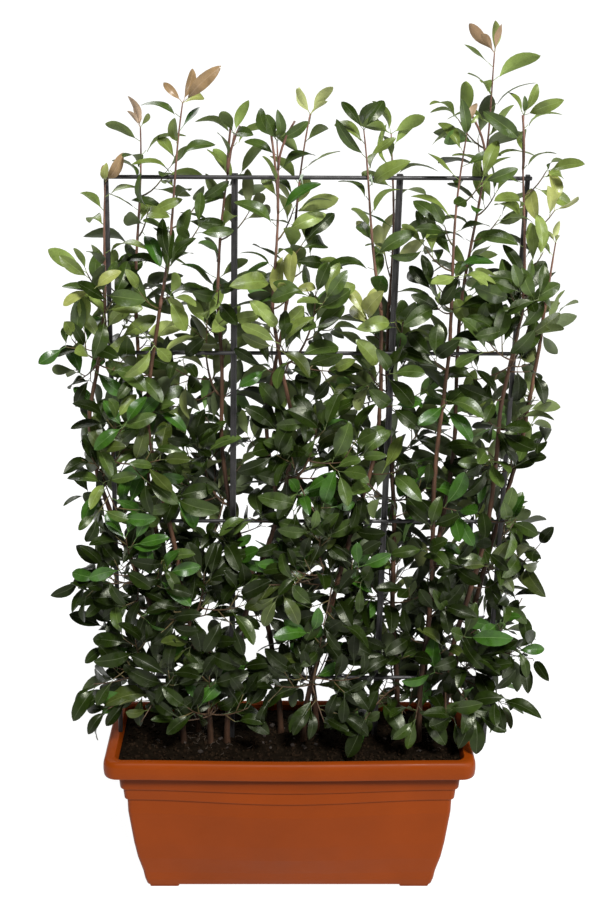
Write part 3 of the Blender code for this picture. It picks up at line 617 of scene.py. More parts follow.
def makeTies():
    # thin strips wound round the top rail where a shoot is tied to it
    bag = newBag()
    z = trellis["rails"][-1][1]
    y = trellis["front"] - trellis["railGap"] - trellis["railRadius"]
    for x, lean in trellis["ties"]:
        for winding in range(2):
            loop = []
            for k in range(25):
                turn = 2 * pi * k / 24
                wide = 0.0056 + 0.0007 * sin(3 * turn + winding)
                loop.append(Vector((x + 0.0034 * winding + lean * 0.0020 * sin(turn),
                                    y + wide * cos(turn), z + wide * 1.10 * sin(turn))))
            addTo(bag, *tube(loop, [trellis["tieRadius"]] * 25, 8))
        for end in (-1, 1):  # the knot's two loose ends
            tail = [Vector((x + 0.0015 + end * 0.0022 * t, y - 0.0058 - 0.0012 * t,
                            z + 0.0030 - 0.0060 * t * (1.2 + 0.5 * end))) for t in (0, 0.5, 1.0, 1.6)]
            addTo(bag, *tube(tail, [0.0012, 0.0013, 0.0012, 0.0006], 6))
    film = mottled("tieFilm", trellis["tieColor"], 0.45, 130, 0.25, detail=4)
    piece = pieceFrom("tiesTopRail", bag, [film], 50)
    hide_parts("rail_top")
    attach(piece, "root")


makeTrellis()
makeTies()
print("trellis made")


# the stems: they fan out from their feet to the waist, then climb to the head, where a shoot goes on

stems = (
    # foot, waist, head, tip height, tip, at the front
    (-0.235, -0.405, -0.372, 1.62, -0.346, True),
    (-0.205, -0.312, -0.304, 1.72, -0.293, False),
    (-0.175, -0.285, -0.262, 1.77, -0.190, True),
    (-0.020, -0.145, -0.148, 1.71, -0.107, False),
    (-0.140, 0.000, -0.032, 1.70, -0.030, True),
    (0.060, -0.045, -0.015, 1.745, 0.046, False),
    (0.030, 0.174, 0.182, 1.72, 0.124, True),
    (0.240, 0.205, 0.196, 1.71, 0.194, False),
    (0.285, 0.305, 0.312, 1.73, 0.334, True),
    (0.290, 0.335, 0.346, 1.86, 0.387, False),
    (0.335, 0.430, 0.452, 1.75, 0.440, True),
    (0.345, 0.482, 0.510, 1.50, 0.535, False),
)
stem = {
    "ground": 0.348, "waist": 1.12, "head": 1.33, "front": -0.0245, "back": 0.0165, "buried": 0.012, "overlap": 0.004,
    "footRadius": 0.0062, "headRadius": 0.0034, "shootRadius": 0.0034, "tipRadius": 0.0013,
    "flare": 1.45, "flareReach": 0.016, "sway": 0.006, "swayRate": 11.0, "wander": 0.0012, "ridges": 0.00035,
    "scarApart": (0.022, 0.040), "scarHeight": 0.0007, "scarWidth": 0.004, "step": 0.009, "sides": 12,
    "color": (0.076, 0.040, 0.023), "light": (0.175, 0.086, 0.050), "dark": (0.036, 0.018, 0.012),
    # painted shade: the bark's colour is darker towards the foot
    "paintedFootShade": ((0.0, (0.36, 0.36, 0.36)), (0.35, (0.62, 0.62, 0.64)), (0.8, (1, 1, 1))),  # from the foot to the head
}


def stemTop(number):
    return stems[number][3]


def stemPoint(number, z):
    # the middle of a stem, and of its shoot above the head
    foot, waist, head, top, tip, front = stems[number]
    ground = stem["ground"]
    if z < stem["waist"]:
        x = foot + (waist - foot) * easeIn((z - ground) / (stem["waist"] - ground))
    elif z < stem["head"]:
        x = waist + (head - waist) * (z - stem["waist"]) / (stem["head"] - stem["waist"])
    else:
        x = head + (tip - head) * (z - stem["head"]) / (top - stem["head"])
    x += stem["sway"] * easeIn((z - ground) / 0.30) * sin(stem["swayRate"] * z + 2.4 * number)
    y = stem["front"] if front else stem["back"]
    return Vector((x, y, z))


def stemRadius(z):
    share = (z - stem["ground"]) / (stem["head"] - stem["ground"])
    return stem["footRadius"] + (stem["headRadius"] - stem["footRadius"]) * min(share, 1)


def makeStems(rng):
    bag = newBag()
    ground, bottom = stem["ground"], stem["ground"] - stem["buried"]
    tall = stem["head"] + stem["overlap"] - bottom
    count = int(tall / stem["step"])
    for number in range(len(stems)):
        points, radii, scars = [], [], []
        scarAt = ground + 0.03
        while scarAt < stem["head"]:
            scars.append(scarAt)
            scarAt += rng.uniform(*stem["scarApart"])
        for i in range(count + 1):
            z = bottom + tall * i / count
            low = max(z - ground, 0)
            flare = 1 + (stem["flare"] - 1) * exp(-low / stem["flareReach"])
            scar = stem["scarHeight"] * sum(exp(-((z - s) / stem["scarWidth"]) ** 2) for s in scars)
            radii.append(stemRadius(max(z, ground)) * flare + scar)
            point = stemPoint(number, z)
            point.x += stem["wander"] * noise.noise(Vector((z * 18, number * 3.1, 0)))
            point.y += stem["wander"] * noise.noise(Vector((z * 18, number * 3.1, 9)))
            points.append(point)
        corners, faces = tube(points, radii, stem["sides"])
        for corner in corners:  # the bark's long ridges
            out = (corner - points[min(int((corner.z - bottom) / tall * count), count)]).normalized()
            rough = noise.fractal(Vector((corner.x * 420, corner.y * 420, corner.z * 55)), 0.8, 2, 3)
            corner += stem["ridges"] * rough * out
        addTo(bag, corners, faces)
    bark = newMaterial("stemBark", stem["color"], 0.52, 0.18)
    mottle(bark, 55, [(0.28, stem["dark"]), (0.5, stem["color"]), (0.74, stem["light"])],
           detail=7, stretch=(1, 1, 0.16))
    # painted shade: the bark is darker towards the foot
    paintedShadeByHeight(bark, stem["ground"], stem["head"], stem["paintedFootShade"])
    shineVaries(bark, 90, 0.34, 0.62, detail=4)
    relief(bark, 480, 0.55, 0.0008, detail=5, stretch=(1, 1, 0.3))
    piece = pieceFrom("stemsBark", bag, [bark], 0)
    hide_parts(*[f"stem_{i + 1}" for i in range(len(stems))])
    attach(piece, "root")


makeStems(random.Random(5))
print("stems made")


# the crown: rows and columns share it among the bushes, and a shoot stands on each stem

crown = {
    "left": 0.449, "right": 0.539, "narrow": 0.014, "wave": 0.028, "waveLength": 0.26, "bottom": 0.392,
    "lowest": (0.437, 0.420, 0.416, 0.378, 0.368), "proud": 0.25, "proudBy": 0.018, "short": -0.022,
    "depth": 0.132, "rows": 4, "columns": 5, "stagger": 0.040, "spill": 0.050,
    "shootReach": 0.115, "shootDepth": 0.115, "shootSpacing": 0.027,
    # more leaves on a shoot below one
    "closer": {1: 0.80, 2: 0.70, 3: 0.76, 4: 0.83, 5: 1.0, 6: 0.95, 7: 0.98, 8: 0.78, 9: 0.64, 10: 0.84, 11: 1.0},
    "gather": {5: 0.85, 6: 0.75, 7: 0.75},  # below 1 a shoot's leaves gather near its end
    "sideTwigs": (10, 10, 9, 5), "sideDepth": 0.052, "sideLength": 0.060,
    "spurs": (0.47, 1.22, 0.050),  # lowest, highest, how far apart
    "spursTo": {1: 1.46, 2: 1.46, 3: 1.46, 4: 1.46, 8: 1.48, 9: 1.42, 10: 1.42},  # stems that have them further up
    "spurReach": ((-1, 0.14, 0.403), (0.08, 1, 0.345)),  # left, right, lowest
    "lowEnds": ((0.16, 0.435), (0.215, 0.410), (0.27, 0.43), (0.315, 0.412), (0.355, 0.43), (0.40, 0.44), (0.45, 0.46),
                (0.335, 0.45), (0.385, 0.46), (-0.34, 0.44), (-0.39, 0.455), (-0.15, 0.42)),
}
leafShape = {
    "length": (0.076, 0.110), "width": 0.49, "petiole": 0.15, "rib": 0.009, "thick": 0.006,
    "outline": ((0.0, 0.03), (0.10, 0.22), (0.22, 0.52), (0.36, 0.80), (0.50, 0.96), (0.64, 1.0), (0.77, 0.91),
                (0.88, 0.68), (0.96, 0.34), (1.0, 0.02)),
    # how the variants differ; a tip below one is blunt, above one it is drawn out
    "variants": 12, "fold": (0.06, 0.36), "arch": (0.05, 0.60), "wave": (0.0, 0.020), "phase": (0, 6),
    "bend": (-0.07, 0.07), "twist": (-0.35, 0.35), "halves": (0.80, 1.06), "tip": (0.75, 1.25),
    "perPiece": 1000, "stalk": (0.0009, 0.0007, 0.0008),
    "widths": (0.88, 1.08), "slimAbove": 1.40, "slim": 0.86,  # slimmer on the young shoots
    "gloss": 0.34, "darkGloss": 0.21, "darkShine": (0.97, 1.0, 0.80, 1.0),
}
tints = {  # name: upper side, rib, underside
    "black": ((0.0060, 0.0108, 0.0010), (0.028, 0.038, 0.012), (0.030, 0.042, 0.013)),
    "deep": ((0.0100, 0.0187, 0.0018), (0.043, 0.058, 0.018), (0.042, 0.058, 0.017)),
    "dark": ((0.0192, 0.0352, 0.0038), (0.066, 0.090, 0.025), (0.060, 0.083, 0.024)),
    "olive": ((0.0357, 0.0498, 0.0083), (0.104, 0.124, 0.037), (0.095, 0.115, 0.030)),
    "mid": ((0.0440, 0.0720, 0.0125), (0.104, 0.145, 0.037), (0.100, 0.137, 0.032)),
    # vivid: painted light, a green that stands in for light shining through a leaf
    "vivid": ((0.0260, 0.0745, 0.0062), (0.079, 0.149, 0.033), (0.079, 0.158, 0.025)),
    # fresh, light and pale: partly young leaves, partly painted light shining through them
    "fresh": ((0.1240, 0.1650, 0.0340), (0.174, 0.241, 0.058), (0.174, 0.241, 0.046)),
    "light": ((0.1750, 0.2300, 0.0560), (0.274, 0.332, 0.108), (0.274, 0.332, 0.091)),
    "pale": ((0.2407, 0.2615, 0.0706), (0.332, 0.357, 0.133), (0.349, 0.382, 0.141)),
    "bronze": ((0.2150, 0.1400, 0.0680), (0.310, 0.210, 0.125), (0.270, 0.172, 0.092)),
    "rose": ((0.3200, 0.2250, 0.1380), (0.420, 0.310, 0.215), (0.400, 0.285, 0.190)),
}
# painted light and shade in the leaves' tints: low down and inside a mass the leaves are darker, partly older leaves
# and partly painted shade; towards the top they are fresher, partly young leaves and partly painted light shining
# through them
tintRule = {  # darker low down and inside, fresher towards the top and the ends
    "vivid": 0.065, "olive": 0.11,  # chances, counted up
    "rises": (0.66, 0.85, 0.70), "falls": (0.46, 0.97, 0.45),  # how much, from where, over what height
    "outward": 0.12, "varies": (-0.42, 0.60), "denseTo": 1.22, "denseShare": 0.93, "denseMost": 0.79,
    "limits": ((-0.02, "black"), (0.19, "deep"), (0.44, "dark"), (0.82, "mid"), (1.02, "fresh")),
    "above": ("light", "light", "pale"),
    "steps": ("black", "deep", "dark", "mid", "fresh"), "keeps": 0.60, "lighter": 0.80, "oddOne": 0.965,
}
twig = {
    "color": (0.062, 0.036, 0.020), "shootColor": (0.140, 0.068, 0.045), "greenColor": (0.100, 0.080, 0.026),
    "cutEnd": (0.0025, 0.0021), "step": 0.009, "knot": 0.00030, "shootKnot": 0.00045,
    # radius at the foot and at the end, length of foot that may touch others, room for a leaf, bare share
    "bush": (0.0027, 0.0017, 0.010, 0.024, 0.25), "side": (0.0017, 0.0010, 0.006, 0.019, 0.15),
    "finger": (0.0012, 0.0008, 0.004, 0.017, 0.25), "onShoot": (0.0018, 0.0010, 0.006, 0.020, 0.25),
    "spur": (0.0016, 0.0010, 0.010, 0.015, 0.3), "hanging": (0.0017, 0.0010, 0.012, 0.015, 0.3),
}


def crownSide(side, z):
    wave = cos(2 * pi * (z - 0.45 - 0.09 * (side > 0)) / crown["waveLength"])
    narrow = crown["narrow"] * easeIn((1.25 - z) / 0.3) if side > 0 else 0
    return side * ((crown["right"] if side > 0 else crown["left"]) - narrow + crown["wave"] * wave)


def aroundAxis(ahead, turn):
    side = ahead.orthogonal().normalized()
    return cos(turn) * side + sin(turn) * ahead.cross(side)


def treeOf(shapes):
    corners, faces = [], []
    for shapeCorners, shapeFaces in shapes:
        first = len(corners)
        corners += shapeCorners
        faces += [tuple(first + i for i in face) for face in shapeFaces]
    return BVHTree.FromPolygons(corners, faces)


def spreadAlong(points, step=0.004):
    found = []
    for a, b in zip(points, points[1:]):
        count = max(int((b - a).length / step), 1)
        found += [a.lerp(b, i / count) for i in range(count)]
    return found + [points[-1]]


def bentLine(start, first, end, steps):
    knee = start + first.normalized() * (end - start).length * 0.45
    return [bendAt(start, knee, end, i / steps) for i in range(steps + 1)]


def leafProxy(base, along, normal, length):
    # two plain facets that stand for a leaf while room is looked for
    across = normal.cross(along)
    half = length * leafShape["width"] / 2
    near = base + along * length * 0.22
    corners = [near, base + along * length * 0.45 + across * half, base + along * length,
               base + along * length * 0.45 - across * half]
    corners[1] += normal * length * 0.05
    corners[3] += normal * length * 0.05
    return corners, [(0, 1, 2), (0, 2, 3)]


class Spray:
    # one mass of twigs and leaves, and the space that it keeps to

    def __init__(self, low, high, rng):
        self.low, self.high, self.rng = Vector(low), Vector(high), rng
        self.twigs, self.leaves, self.proxies = [], [], []
        self.blocked = self.own = None
        self.proud = -0.02  # how far a leaf may stand past the crown's sides

    def holds(self, point):
        left, right = crownSide(-1, point.z), crownSide(1, point.z)
        inside = all(self.low[i] <= point[i] <= self.high[i] for i in range(3))
        return inside and left - self.proud <= point.x <= right + self.proud

    def noise(self):
        return Vector([self.rng.uniform(-1, 1) for _ in range(3)])

    def addTwig(self, points, kind, bark="brown"):
        first, last, free, *_ = twig[kind]
        tested = [p for p in spreadAlong(points) if (p - points[0]).length > free]
        if not all(self.holds(p) for p in tested):
            return False
        if any(self.blocked.find_nearest(p, first + 0.0008)[0] for p in tested):
            return False
        self.twigs.append((points, first, last, bark))
        return True

    def addLeaf(self, base, along, facing, length, tint):
        along = along.normalized()
        normal = (facing - facing.dot(along) * along).normalized()
        shape = leafProxy(base, along, normal, length)
        self.proud = crown["proudBy" if self.rng.random() < crown["proud"] else "short"]
        if not all(self.holds(p) for p in shape[0]):
            return False
        probe = treeOf([shape])
        if probe.overlap(self.blocked) or (self.own and probe.overlap(self.own)):
            return False
        self.leaves.append((base, along, normal, length, nearTint(self.rng, tint)))
        self.proxies.append(shape)
        self.own = treeOf(self.proxies)
        return True

    def tryLeaf(self, base, along, length, tint, up=0.5, tries=7):
        for attempt in range(tries):
            turned = along.normalized() + 0.14 * (attempt + 1) * self.noise()
            facing = Vector((0, copysign(max(1 - 0.5 * up, 0.2), base.y + 0.002), up)) + 0.55 * self.noise()
            if self.addLeaf(base, turned, facing, length * (1 - 0.02 * attempt), tint):
                return True
        return False


def nearTint(rng, tint):
    # most leaves of a spray keep its tint, some are a step darker or lighter
    order = tintRule["steps"]
    chance = rng.random()
    if tint not in order or chance < tintRule["keeps"]:
        return tint
    # a few leaves take the vivid tint: painted light shining through the leaf
    if chance > tintRule["oddOne"]:
        return "vivid"
    return order[min(max(order.index(tint) + (1 if chance > tintRule["lighter"] else -1), 0), len(order) - 1)]


def leafLength(rng, scale=1.0):
    return rng.uniform(*leafShape["length"]) * scale


def dress(spray, line, kind, tint, phase=0.0, scale=1.0, up=0.5, droop=0.0):
    # leaves stand alternately along a twig in golden-angle order, with a rosette at its end
    spacing, first = twig[kind][3:]
    place = spreadAlong(line, 0.002)
    count = max(int((1 - first) * 0.002 * len(place) / spacing), 1)
    for number in range(count):
        share = first + (1 - first) * (number + 0.5) / count
        at = int(share * (len(place) - 1))
        ahead = (place[min(at + 3, len(place) - 1)] - place[max(at - 3, 0)]).normalized()
        out = aroundAxis(ahead, number * goldenAngle + phase)
        along = out + (0.35 + 0.5 * share) * ahead + Vector((0, 0, 0.20 - droop))
        spray.tryLeaf(place[at], along, leafLength(spray.rng, scale * (1 - 0.18 * share)), tint, up)
    ahead = (line[-1] - line[-2]).normalized()
    for number in range(2):
        out = aroundAxis(ahead, number * goldenAngle + phase + 1.0) - Vector((0, 0, droop))
        spray.tryLeaf(line[-1], ahead + 0.75 * out, leafLength(spray.rng, scale * (0.85 - 0.1 * number)), tint, up)


def nearestStem(x, z):
    return min(range(len(stems)), key=lambda n: abs(stemPoint(n, z).x - x))


def onBark(middle, out, z):
    # a twig starts a little inside the stem's bark
    return middle + out * stemRadius(z) * 0.6


def startOnStem(aim, z):
    number = nearestStem(aim.x, z)
    middle = stemPoint(number, z)
    slope = (stemPoint(number, z + 0.01) - stemPoint(number, z - 0.01)).normalized()
    away = Vector((aim.x - middle.x, middle.y * 2.5, 0))
    if abs(away.x) < 0.03:
        away.x = 0.0
    out = (away - away.dot(slope) * slope).normalized()
    return onBark(middle, out, z), out, number


def bushTint(rng, z, share):
    # painted light and shade: the vivid tint stands in for light shining through a leaf; the tint is darker low down
    # and inside, partly older leaves and partly painted shade, and fresher at the top, partly young leaves and partly
    # painted light shining through
    chance = rng.random()
    for tint in ("vivid", "olive"):
        if chance < tintRule[tint]:
            return tint
    (most, start, height), (least, end, depth) = tintRule["rises"], tintRule["falls"]
    freshness = most * easeIn((z - start) / height) - least * easeIn((end - z) / depth) + tintRule["outward"] * share
    freshness += rng.uniform(*tintRule["varies"])
    if z < tintRule["denseTo"] and rng.random() < tintRule["denseShare"]:
        freshness = min(freshness, tintRule["denseMost"])  # hardly any pale leaves in the dense part
    for limit, tint in tintRule["limits"]:
        if freshness < limit:
            return tint
    return rng.choice(tintRule["above"])


def growBush(spray, row, aim, start, out, middle, reach):
    # a main twig from a stem, side twigs that fan out over the mass, and two fingers on each
    rng = spray.rng
    for attempt in range(30):
        end = aim + 0.012 * attempt * spray.noise()
        line = bentLine(start, out, end, 7)
        if spray.addTwig(line, "bush"):
            break
    else:
        return
    dress(spray, line, "bush", bushTint(rng, aim.z, 0.3))
    place = spreadAlong(line, 0.002)
    place = place[int(0.15 * len(place)):]
    count = crown["sideTwigs"][row]
    for number in range(count):
        turn = number * goldenAngle + 0.6
        out = sqrt((number + 0.5) / count)
        end = middle + out * Vector((reach.x * cos(turn), 0, reach.z * sin(turn)))
        end.y = line[-1].y + crown["sideDepth"] * (-1) ** number * rng.uniform(0.5, 1.25)
        begin = min(place, key=lambda p: (p + Vector((0, 0, 0.05)) - end).length)
        if (end - begin).length < crown["sideLength"]:
            end = begin + (end - begin).normalized() * crown["sideLength"]
        tint = bushTint(rng, end.z, out)
        bark = "green" if tint in ("fresh", "light", "pale") else "brown"
        for attempt in range(10):
            goal = begin.lerp(end, 1 - 0.04 * attempt) + 0.004 * attempt * spray.noise()
            side = bentLine(begin, (goal - begin).normalized() + Vector((0, 0, -0.35)), goal, 5)
            if spray.addTwig(side, "side", bark):
                break
        else:
            continue
        droop = 0.35 if rng.random() < 0.45 else 0.0
        dress(spray, side, "side", tint, number, up=rng.uniform(0.25, 0.75), droop=droop)
        for finger, share in enumerate((0.40, 0.66)):
            origin = side[0].lerp(side[-1], share)
            origin = min(spreadAlong(side, 0.002), key=lambda p: (p - origin).length)
            ahead = (side[-1] - side[0]).normalized()
            facing = Vector((0, copysign(1, origin.y), 0.4)).normalized()
            way = Matrix.Rotation(radians(52) * (-1) ** (finger + number), 3, facing) @ ahead
            tip = origin + way * rng.uniform(0.030, 0.052)
            small = bentLine(origin, way, tip + Vector((0, 0, 0.006)), 3)
            if spray.addTwig(small, "finger", "green"):
                tint = bushTint(rng, tip.z, out)
                dress(spray, small, "finger", tint, finger * 2, 0.95, rng.uniform(0.25, 0.75), droop)


shoots = {  # by stem
    # tint of the rosette on top
    "tips": {0: "bronze", 1: "rose", 2: "bronze", 5: "pale", 8: "rose", 9: "bronze", 10: "fresh", 11: "pale"},
    "sizes": {0: 0.70, 1: 0.76, 2: 1.10, 8: 0.52, 9: 0.92, 11: 0.80},  # larger or smaller rosettes
    "leans": {2: -0.50, 9: 0.80},  # how far the rosette's first leaf leans over
    # bare ends that were cut back: where each leaves the shoot, and its end
    "cutEnds": {3: ((1.58, -0.113, 1.695), (1.60, -0.098, 1.680)), 4: ((1.53, -0.040, 1.679), (1.60, 0.006, 1.693)),
                9: ((1.60, 0.334, 1.713),), 10: ((1.60, 0.432, 1.706),)},
    "below": 0.045, "step": 0.025, "bend": 0.010,  # the rosette's own height, and the line under it
}


def flatWay(turn, deep=1):
    return Vector((cos(turn), deep * sin(turn), 0))


def growShoot(spray, number):
    # the stem goes on upward with leaves, some side twigs, bare cut ends and a rosette on top
    rng = spray.rng
    base, end = stem["head"], stemTop(number) - shoots["below"]
    count = max(int((end - base) / shoots["step"]), 4)
    line = []
    for i in range(count + 1):
        z = base + (end - base) * i / count
        point = stemPoint(number, z)
        point.y += shoots["bend"] * sin(2.2 * i / count + number) * i / count
        line.append(point)
    spray.twigs.append((line, stem["shootRadius"], stem["tipRadius"], "shoot"))
    closer = crown["closer"].get(number, 1)
    leaves = int((end - base) / (crown["shootSpacing"] * closer))
    for k in range(leaves):
        share = ((k + 0.5) / leaves) ** crown["gather"].get(number, 1.2)
        at = line[min(int(share * count), count)]
        flat = flatWay(k * goldenAngle + 0.8 * number, 0.7)
        if k % (3 if closer < 0.9 else 6) == 1 and share < 0.70:
            goal = at + (flat.normalized() + Vector((0, 0, 0.9))).normalized() * rng.uniform(0.055, 0.095)
            side = bentLine(at, flat + Vector((0, 0, 0.3)), goal, 5)
            if spray.addTwig(side, "onShoot", "green"):
                dress(spray, side, "onShoot", bushTint(rng, goal.z, share), k, up=0.35)
                continue
        freshness = share + rng.uniform(-0.26, 0.36)
        tint = "dark" if freshness < 0.25 else "mid" if freshness < 0.7 else "fresh"
        lift = 0.30 + 0.45 * share + rng.uniform(-0.15, 0.25)
        size = leafLength(rng, 1.02 - 0.20 * share)
        level = 0.4 + 1.6 * abs(flat.normalized().x) * rng.random()
        spray.tryLeaf(at, flat + Vector((0, 0, lift)), size, tint, up=level)
    for leaveAt, endX, endZ in shoots["cutEnds"].get(number, ()):
        start = min(line, key=lambda p: abs(p.z - leaveAt))
        stub = bentLine(start, Vector((0.2 * (endX - start.x), -0.2, 1)), Vector((endX, start.y - 0.006, endZ)), 6)
        spray.twigs.append((stub, *twig["cutEnd"], "shoot"))
    tint, small = shoots["tips"].get(number, "mid"), shoots["sizes"].get(number, 1)
    ahead = (line[-1] - line[-2]).normalized()
    for k in range(4):
        kind = tint if k != 2 or tint not in ("bronze", "rose") else rng.choice(("light", "pale", "fresh"))
        lean = 0.22 + 0.26 * k if k else shoots["leans"].get(number, 0.22)
        size = leafLength(rng, small * (0.95 - 0.09 * k) * (0.72 if k and tint != "mid" else 1))
        spray.tryLeaf(line[-1], ahead + lean * flatWay(k * goldenAngle + number, 0.7), size, kind, up=0.15)


def growSpurs(spray):
    # short leafy twigs straight from the stems fill what the bushes leave open
    rng = spray.rng
    lowest, highest, apart = crown["spurs"]
    for number in range(len(stems)):
        z = lowest + rng.uniform(0, apart)
        turn = number * 1.3
        while z < crown["spursTo"].get(number, highest):
            z += rng.uniform(0.7, 1.4) * apart * (1.0 if z < 0.95 else 1.5)
            turn += goldenAngle
            middle = stemPoint(number, z)
            flat = flatWay(turn)
            if flat.y * middle.y < 0:
                flat.y = -flat.y  # away from the trellis
            goal = middle + flat * rng.uniform(0.030, 0.055) + Vector((0, 0, rng.uniform(0.0, 0.03)))
            line = bentLine(onBark(middle, flat, z), flat, goal, 4)
            tint = bushTint(rng, z, 0.3)
            if spray.addTwig(line, "spur"):
                dress(spray, line, "spur", tint, turn, up=rng.uniform(0.2, 0.7), droop=rng.choice((0.0, 0.4)))
    for k, (x, z) in enumerate(crown["lowEnds"]):  # twigs that hang over the soil and the rim
        for front in (-1, 1):
            middle = stemPoint(nearestStem(x, z + 0.07), z + 0.05 + 0.02 * front)
            goal = Vector((x, 0.075 * front + rng.uniform(-0.02, 0.02), z + rng.uniform(0, 0.02)))
            out = (goal - middle).normalized()
            line = bentLine(onBark(middle, out, middle.z), out + Vector((0, 0, 0.35)), goal, 6)
            if spray.addTwig(line, "hanging"):
                # dark tints over the soil and the rim: partly older leaves, partly painted shade
                tint = rng.choice(("black", "deep", "deep", "dark"))
                dress(spray, line, "hanging", tint, k, up=rng.uniform(0.2, 0.6), droop=rng.choice((0.1, 0.5)))


room = {  # what leaves and twigs keep clear of
    "steps": 40, "besideStem": 0.0008, "postTop": 1.591, "postShare": 1.35,  # of a post's half width
    "railEnds": (-0.385, 0.46), "rail": 0.0048,
    "trough": ((0.05, 0.05), (0.30, 0.01), (0.36, -0.001), (0.363, 0.01)), "belly": 0.008,  # height, inset
}


def limbShapes():
    # plain tubes and bars that stand for the stems, posts, rails and trough
    shapes = []
    low, high, steps = stem["ground"], stem["head"], room["steps"]
    heights = [low + (high - low) * i / steps for i in range(steps + 1)]
    radii = [stemRadius(z) + room["besideStem"] for z in heights]
    for number in range(len(stems)):
        shapes.append(tube([stemPoint(number, z) for z in heights], radii, 6))
    for _, foot, half, bottom, _ in trellis["posts"]:
        y = min(trellis["front"] + half, 0)
        ends = [Vector((foot + trellis["lean"] * z, y, z)) for z in (bottom, room["postTop"])]
        shapes.append(tube(ends, [half * room["postShare"]] * 2, 4, Vector((1, 1, 0))))
    for _, z in trellis["rails"]:
        y = trellis["front"] - trellis["railRadius"]
        shapes.append(tube([Vector((x, y, z)) for x in room["railEnds"]], [room["rail"]] * 2, 6))
    shapes.append(skin([troughRing(z, inset, inset, room["belly"]) for z, inset in room["trough"]]))
    return shapes


def growCrown(rng):
    fixed = limbShapes()
    sprays, names = [], []

    def newSpray(low, high):
        # it keeps clear of the limbs and of what has grown before it
        spray = Spray(low, high, rng)
        spray.blocked = treeOf(fixed + [shape for other in sprays for shape in other.proxies])
        sprays.append(spray)
        return spray

    for number in range(len(stems)):
        middle = stemPoint(number, (stem["head"] + stemTop(number)) / 2).x
        low = (middle - crown["shootReach"], -crown["shootDepth"], stem["head"] - 0.02)
        high = (middle + crown["shootReach"], crown["shootDepth"], stemTop(number) + 0.012)
        growShoot(newSpray(low, high), number)
        names.append(f"shoot_{number + 1}")
    spill = crown["spill"]
    height = (stem["head"] + 0.02 - crown["bottom"]) / crown["rows"]
    for row, rowName in enumerate(("low", "middle", "high", "upper")):
        for column, columnName in enumerate(("far_left", "left", "centre", "right", "far_right")):
            bottom = crown["bottom"] + row * height + crown["stagger"] * (-1) ** column
            middle = bottom + height / 2
            left, right = crownSide(-1, middle), crownSide(1, middle)
            width = (right - left) / crown["columns"]
            x = left + (column + 0.5) * width
            low = (x - width / 2 - spill, -crown["depth"], bottom - spill if row else crown["lowest"][column])
            high = (x + width / 2 + spill, crown["depth"], bottom + height + spill)
            aim = Vector((x, 0, bottom + 0.65 * height))
            start, out, number = startOnStem(aim, bottom + 0.28 * height)
            aim.y = 1.6 * stemPoint(number, middle).y
            centre = Vector((x, 0, middle))
            reach = Vector((width / 2 + 0.3 * spill, 0, height / 2 + 0.3 * spill))
            growBush(newSpray(low, high), row, aim, start, out, centre, reach)
            names.append(f"leaves_{rowName}_{columnName}")
    for left, right, lowest in crown["spurReach"]:
        growSpurs(newSpray((left, -crown["depth"], lowest), (right, crown["depth"], stem["head"] + 0.1)))
    return sprays, names


# leaves as joined meshes

def leafTemplate(rng):
    # a closed thin blade of unit length along +Y with its rib; rows of nine corners from base to tip
    varied = ("fold", "arch", "wave", "phase", "bend", "twist", "halves", "tip")
    fold, arch, wave, phase, bend, twist, wider, point = [rng.uniform(*leafShape[key]) for key in varied]
    half = leafShape["width"] / 2 * wider
    rows = []
    for t, share in leafShape["outline"]:
        wide = half * share * (1 - max(t - 0.6, 0) / 0.4 * (1 - t) * (point - 0.75) * 1.6)
        rib = min(leafShape["rib"] * (1 - 0.6 * t), wide * 0.5)
        rise, edge = fold * wide, wave * sin(9 * t + phase)
        thick = leafShape["thick"] * min(1, 4 * share)
        lifts = ((-1, rise + edge), (-0.55, rise * 0.50 + edge * 0.4), (-rib / wide, 0),
                 (rib / wide, 0), (0.55, rise * 0.50 - edge * 0.4), (1, rise - edge),
                 (0.5, rise * 0.45 - edge * 0.36 - thick), (0, -thick), (-0.5, rise * 0.45 + edge * 0.36 - thick))
        turn = twist * (t - 0.4)
        for out, lift in lifts:
            x = out * wide * cos(turn) - lift * sin(turn)
            z = out * wide * sin(turn) + lift * cos(turn)
            rows.append((x + bend * sin(pi * t), t, z - arch * (t - 0.25) ** 2 * 1.6))
    return np.array(rows)


def leafFaces():
    faces, slots = [], []
    for i in range(len(leafShape["outline"]) - 1):
        for k, slot in enumerate((0, 0, 1, 0, 0, 2, 2, 2, 2)):
            a, b = 9 * i + k, 9 * i + (k + 1) % 9
            if k in (0, 5):  # beside the margin both sides are cut along the same diagonal
                parts = [(a, a + 9, b + 9), (a, b + 9, b)]
            elif k in (4, 8):
                parts = [(a, a + 9, b), (a + 9, b + 9, b)]
            else:
                parts = [(a, a + 9, b + 9, b)]
            faces += parts
            slots += [slot] * len(parts)
    last = 9 * (len(leafShape["outline"]) - 1)
    faces += [tuple(range(9)), tuple(last + k for k in reversed(range(9)))]
    slots += [1, 1]
    return faces, slots


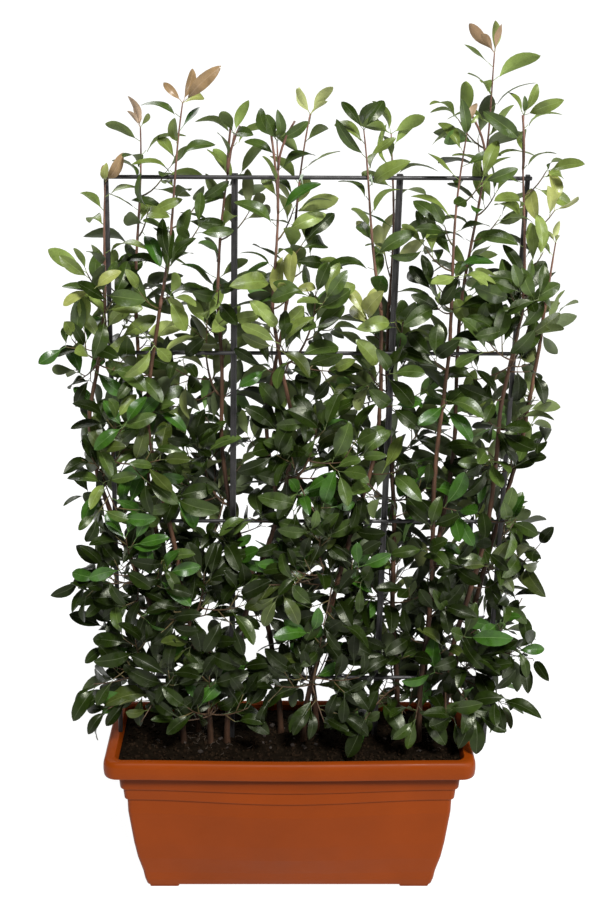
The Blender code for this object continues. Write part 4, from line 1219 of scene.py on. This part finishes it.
def makeLeaves(sprays, names, rng):
    templates = [leafTemplate(rng) for _ in range(leafShape["variants"])]
    faces, slots = leafFaces()
    groups = {}
    for spray in sprays:
        for leaf in spray.leaves:
            groups.setdefault(leaf[4], []).append(leaf)
    for tint, leaves in groups.items():
        upper, rib, under = tints[tint]
        gloss = leafShape["darkGloss"] if tint in ("black", "deep") else leafShape["gloss"]
        blade = mottled(f"{tint}Leaf", upper, 0.34, 42, 0.30, gloss, detail=5)
        if tint in ("black", "deep", "dark"):
            shaderOf(blade).inputs["Specular Tint"].default_value = leafShape["darkShine"]
        shineVaries(blade, 60, 0.21, 0.45, detail=4)
        relief(blade, 190, 0.35, 0.0012, detail=3)
        ribbed = mottled(f"{tint}Rib", rib, 0.5, 60, 0.15)
        below = mottled(f"{tint}Underside", under, 0.62, 70, 0.12, detail=5)
        relief(below, 260, 0.3, 0.001, detail=3)
        batch = leafShape["perPiece"]
        for start in range(0, len(leaves), batch):
            bag = newBag()
            for base, along, normal, length, _ in leaves[start:start + batch]:
                across = normal.cross(along)
                stalk = length * leafShape["petiole"]
                template = templates[rng.randrange(len(templates))]
                axes = np.array([across, along, normal]) * (length - stalk)
                slim = leafShape["slim"] if base.z > leafShape["slimAbove"] else 1
                axes[0] *= rng.uniform(*leafShape["widths"]) * slim
                origin = base + along * stalk
                addTo(bag, (template @ axes + np.array(origin)).tolist(), faces, slots)
                foot = base - along * 0.001
                knee = base + along * stalk * 0.5 - normal * 0.0006
                addTo(bag, *tube([foot, knee, origin + along * 0.001], leafShape["stalk"], 4), slots=1)
            piece = pieceFrom(f"{tint}Leaves{start // batch + 1}", bag, [blade, ribbed, below], 65)
            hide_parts(*names)
            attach(piece, "root")
    print("leaves", sum(map(len, groups.values())), {tint: len(leaves) for tint, leaves in groups.items()})


def makeTwigs(sprays, names):
    bag = newBag()
    barks = ("brown", "green", "shoot")
    for spray in sprays:
        for points, first, last, bark in spray.twigs:
            fine = spreadAlong(points, twig["step"])
            radii = []
            for i in range(len(fine)):
                share = i / (len(fine) - 1)
                knot = twig["shootKnot" if bark == "shoot" else "knot"] * (i % 3 == 1) * (1 - 0.6 * share)
                radii.append(first + (last - first) * share + knot)
            sides = 10 if bark == "shoot" else 8 if first > 0.002 else 6
            addTo(bag, *tube(fine, radii, sides), slots=barks.index(bark))
    brown = mottled("twigBark", twig["color"], 0.5, 60, 0.4, 0.2, detail=5)
    relief(brown, 500, 0.4, 0.0006, detail=4)
    green = newMaterial("greenTwig", twig["greenColor"], 0.5, 0.3)
    mottle(green, 60, [(0.3, twig["color"]), (0.6, twig["greenColor"])], detail=4)
    young = mottled("shootBark", twig["shootColor"], 0.42, 70, 0.45, 0.4, detail=6, stretch=(1, 1, 0.25))
    relief(young, 600, 0.4, 0.0006, detail=4)
    piece = pieceFrom("twigs", bag, [brown, green, young], 0)
    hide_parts(*names)
    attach(piece, "root")
    print("twigs", sum(len(spray.twigs) for spray in sprays))


sprays, massNames = growCrown(random.Random(11))
present = [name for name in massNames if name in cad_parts]
makeTwigs(sprays, present)
makeLeaves(sprays, present, random.Random(3))
print("crown made")
